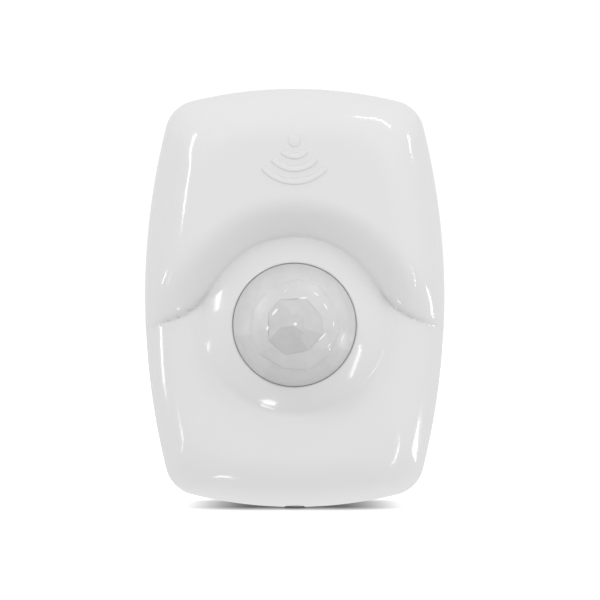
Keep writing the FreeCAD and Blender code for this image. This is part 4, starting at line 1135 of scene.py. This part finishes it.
# %% Sky
world = bpy.data.worlds.new("studio")
bpy.context.scene.world = world
world.use_nodes = True
sky = world.node_tree
ray = node(sky, "LightPath")
way = node(sky, "TexCoord")
parts_of_way = node(sky, "SeparateXYZ")
sky.links.new(way.outputs["Generated"], parts_of_way.inputs[0])
height = node(sky, "MapRange", interpolation_type="SMOOTHSTEP")
sky.links.new(parts_of_way.outputs["Z"], height.inputs["Value"])
SKY_BELOW, SKY_ABOVE = 0.76, 0.84
for label, value in (("From Min", -0.7), ("From Max", 0.7), ("To Min", SKY_BELOW), ("To Max", SKY_ABOVE)):
    height.inputs[label].default_value = value
seen = maths(sky, "MULTIPLY", ray.outputs["Is Camera Ray"], 1.2)
BRIGHTEST = 1.05
strength = maths(sky, "MINIMUM", maths(sky, "ADD", seen, height.outputs[0]), BRIGHTEST)
sky.links.new(strength, sky.nodes["Background"].inputs["Strength"])
sky.nodes["Background"].inputs["Color"].default_value = (1, 1, 1, 1)
print("sky ready")

# %% [markdown]
# The camera looks straight at the front from about half a metre, level with the middle, through a long
# lens, so the sides stay parallel and the cover hides the plate behind it.

# %% Camera
DISTANCE = 0.533
ELEVATION = math.radians(0.0)
aim = Vector((0.0013, -0.002, -0.0005))
eye = bpy.data.cameras.new("camera")
eye.lens = 130.0
eye.sensor_width = 36.0
eye.clip_start = 0.01
camera = bpy.data.objects.new("camera", eye)
camera.location = aim + Vector((0, -math.cos(ELEVATION), math.sin(ELEVATION))) * DISTANCE
camera.rotation_euler = (aim - camera.location).to_track_quat("-Z", "Y").to_euler()
bpy.context.scene.collection.objects.link(camera)
bpy.context.scene.camera = camera
bpy.context.scene.view_settings.view_transform = "Standard"
print("camera", [round(v, 4) for v in camera.location])

# %% [markdown]
# Glossy white plastic is drawn by its reflections, so shade and highlights are lit apart. Large soft
# panels give the shade and are hidden from reflections. Narrow strips give the long thin streaks along
# the shoulders. To place a strip we name two places on the cover where its streak should begin and end,
# look at each from the camera, and follow the line of sight as it bounces off the skin.

# %% Lights


def aimed(name, lamp, place, aim, along=None):
    """Puts an area lamp at a place, facing aim, with its long side turned along a direction."""
    shown = bpy.data.objects.new(name, lamp)
    back = (Vector(place) - Vector(aim)).normalized()
    long_side = Vector(along) if along else Vector((0, 0, 1))
    across = long_side.cross(back).normalized()
    turned = Matrix((across, back.cross(across), back)).transposed().to_4x4()
    turned.translation = place
    shown.matrix_world = turned
    bpy.context.scene.collection.objects.link(shown)
    return shown


def panel(name, place, wide, high, power):
    """A large soft light for shade only."""
    lamp = bpy.data.lights.new(name, "AREA")
    lamp.shape = "RECTANGLE"
    lamp.size, lamp.size_y, lamp.energy = wide, high, power
    shown = aimed(name, lamp, place, (0, 0, 0))
    shown.visible_glossy = False
    return shown


STRIP_REACH = 0.6
SIGHT_DEPTH = -0.02


def bounced(x, z):
    """Where the line of sight through a place on the front, in mm, goes after it leaves the cover."""
    toward = (Vector((x * MM, SIGHT_DEPTH, z * MM)) - camera.location).normalized()
    seen_from = cover.matrix_world.inverted() @ camera.location
    found, place, normal, _ = cover.ray_cast(seen_from, toward)
    if not found:
        raise SystemExit("no cover at %s, %s mm" % (x, z))
    normal = normal if normal.dot(toward) < 0 else -normal
    return place + (toward - normal * 2 * toward.dot(normal)) * STRIP_REACH


def strip(name, first, last, wide, radiance):
    """A narrow light whose streak runs from one place on the cover to another."""
    start, end = bounced(*first), bounced(*last)
    lamp = bpy.data.lights.new(name, "AREA")
    lamp.shape = "RECTANGLE"
    lamp.size, lamp.size_y = wide, (end - start).length
    lamp.energy = math.pi * lamp.size * lamp.size_y * radiance
    shown = aimed(name, lamp, (start + end) / 2, (0, -0.02, 0), end - start)
    shown.visible_diffuse = False
    return shown


bpy.context.view_layer.update()
panel("key", (-0.50, -0.85, 0.80), 0.22, 0.22, 1.7)
panel("front", (0.0, -1.3, -0.15), 0.9, 0.9, 1.6)
panel("fill", (0.80, -0.80, 0.50), 0.5, 0.5, 1.2)
panel("top", (0.0, -0.10, 1.0), 0.7, 0.5, 0.7)
panel("back", (0.0, 0.50, 0.90), 0.7, 0.5, 0.5)
panel("under", (0.0, 0.45, -0.90), 0.8, 0.5, 3.4)
panel("left", (-1.1, -0.10, 0.0), 0.5, 0.8, 0.8)
panel("right", (1.1, -0.10, 0.0), 0.5, 0.8, 1.3)
strip("streak_left", (-23.2, 38.6), (-26.5, 18.0), 0.040, 12.0)
strip("streak_left_low", (-30.9, 6.0), (-31.0, 3.9), 0.030, 10.0)
strip("streak_left_mid", (-27.6, -28.5), (-26.7, -35.9), 0.020, 9.0)
strip("streak_top", (14.6, 42.8), (22.5, 40.4), 0.030, 9.0)
strip("streak_right_high", (26.6, 38.8), (27.5, 34.1), 0.030, 9.0)
strip("streak_right", (28.7, -31.9), (28.6, -38.6), 0.040, 14.0)
strip("streak_collar", (21.0, -13.0), (13.3, -18.6), 0.016, 16.0)
strip("streak_below", (-7.6, -24.6), (-4.6, -25.1), 0.040, 12.0)
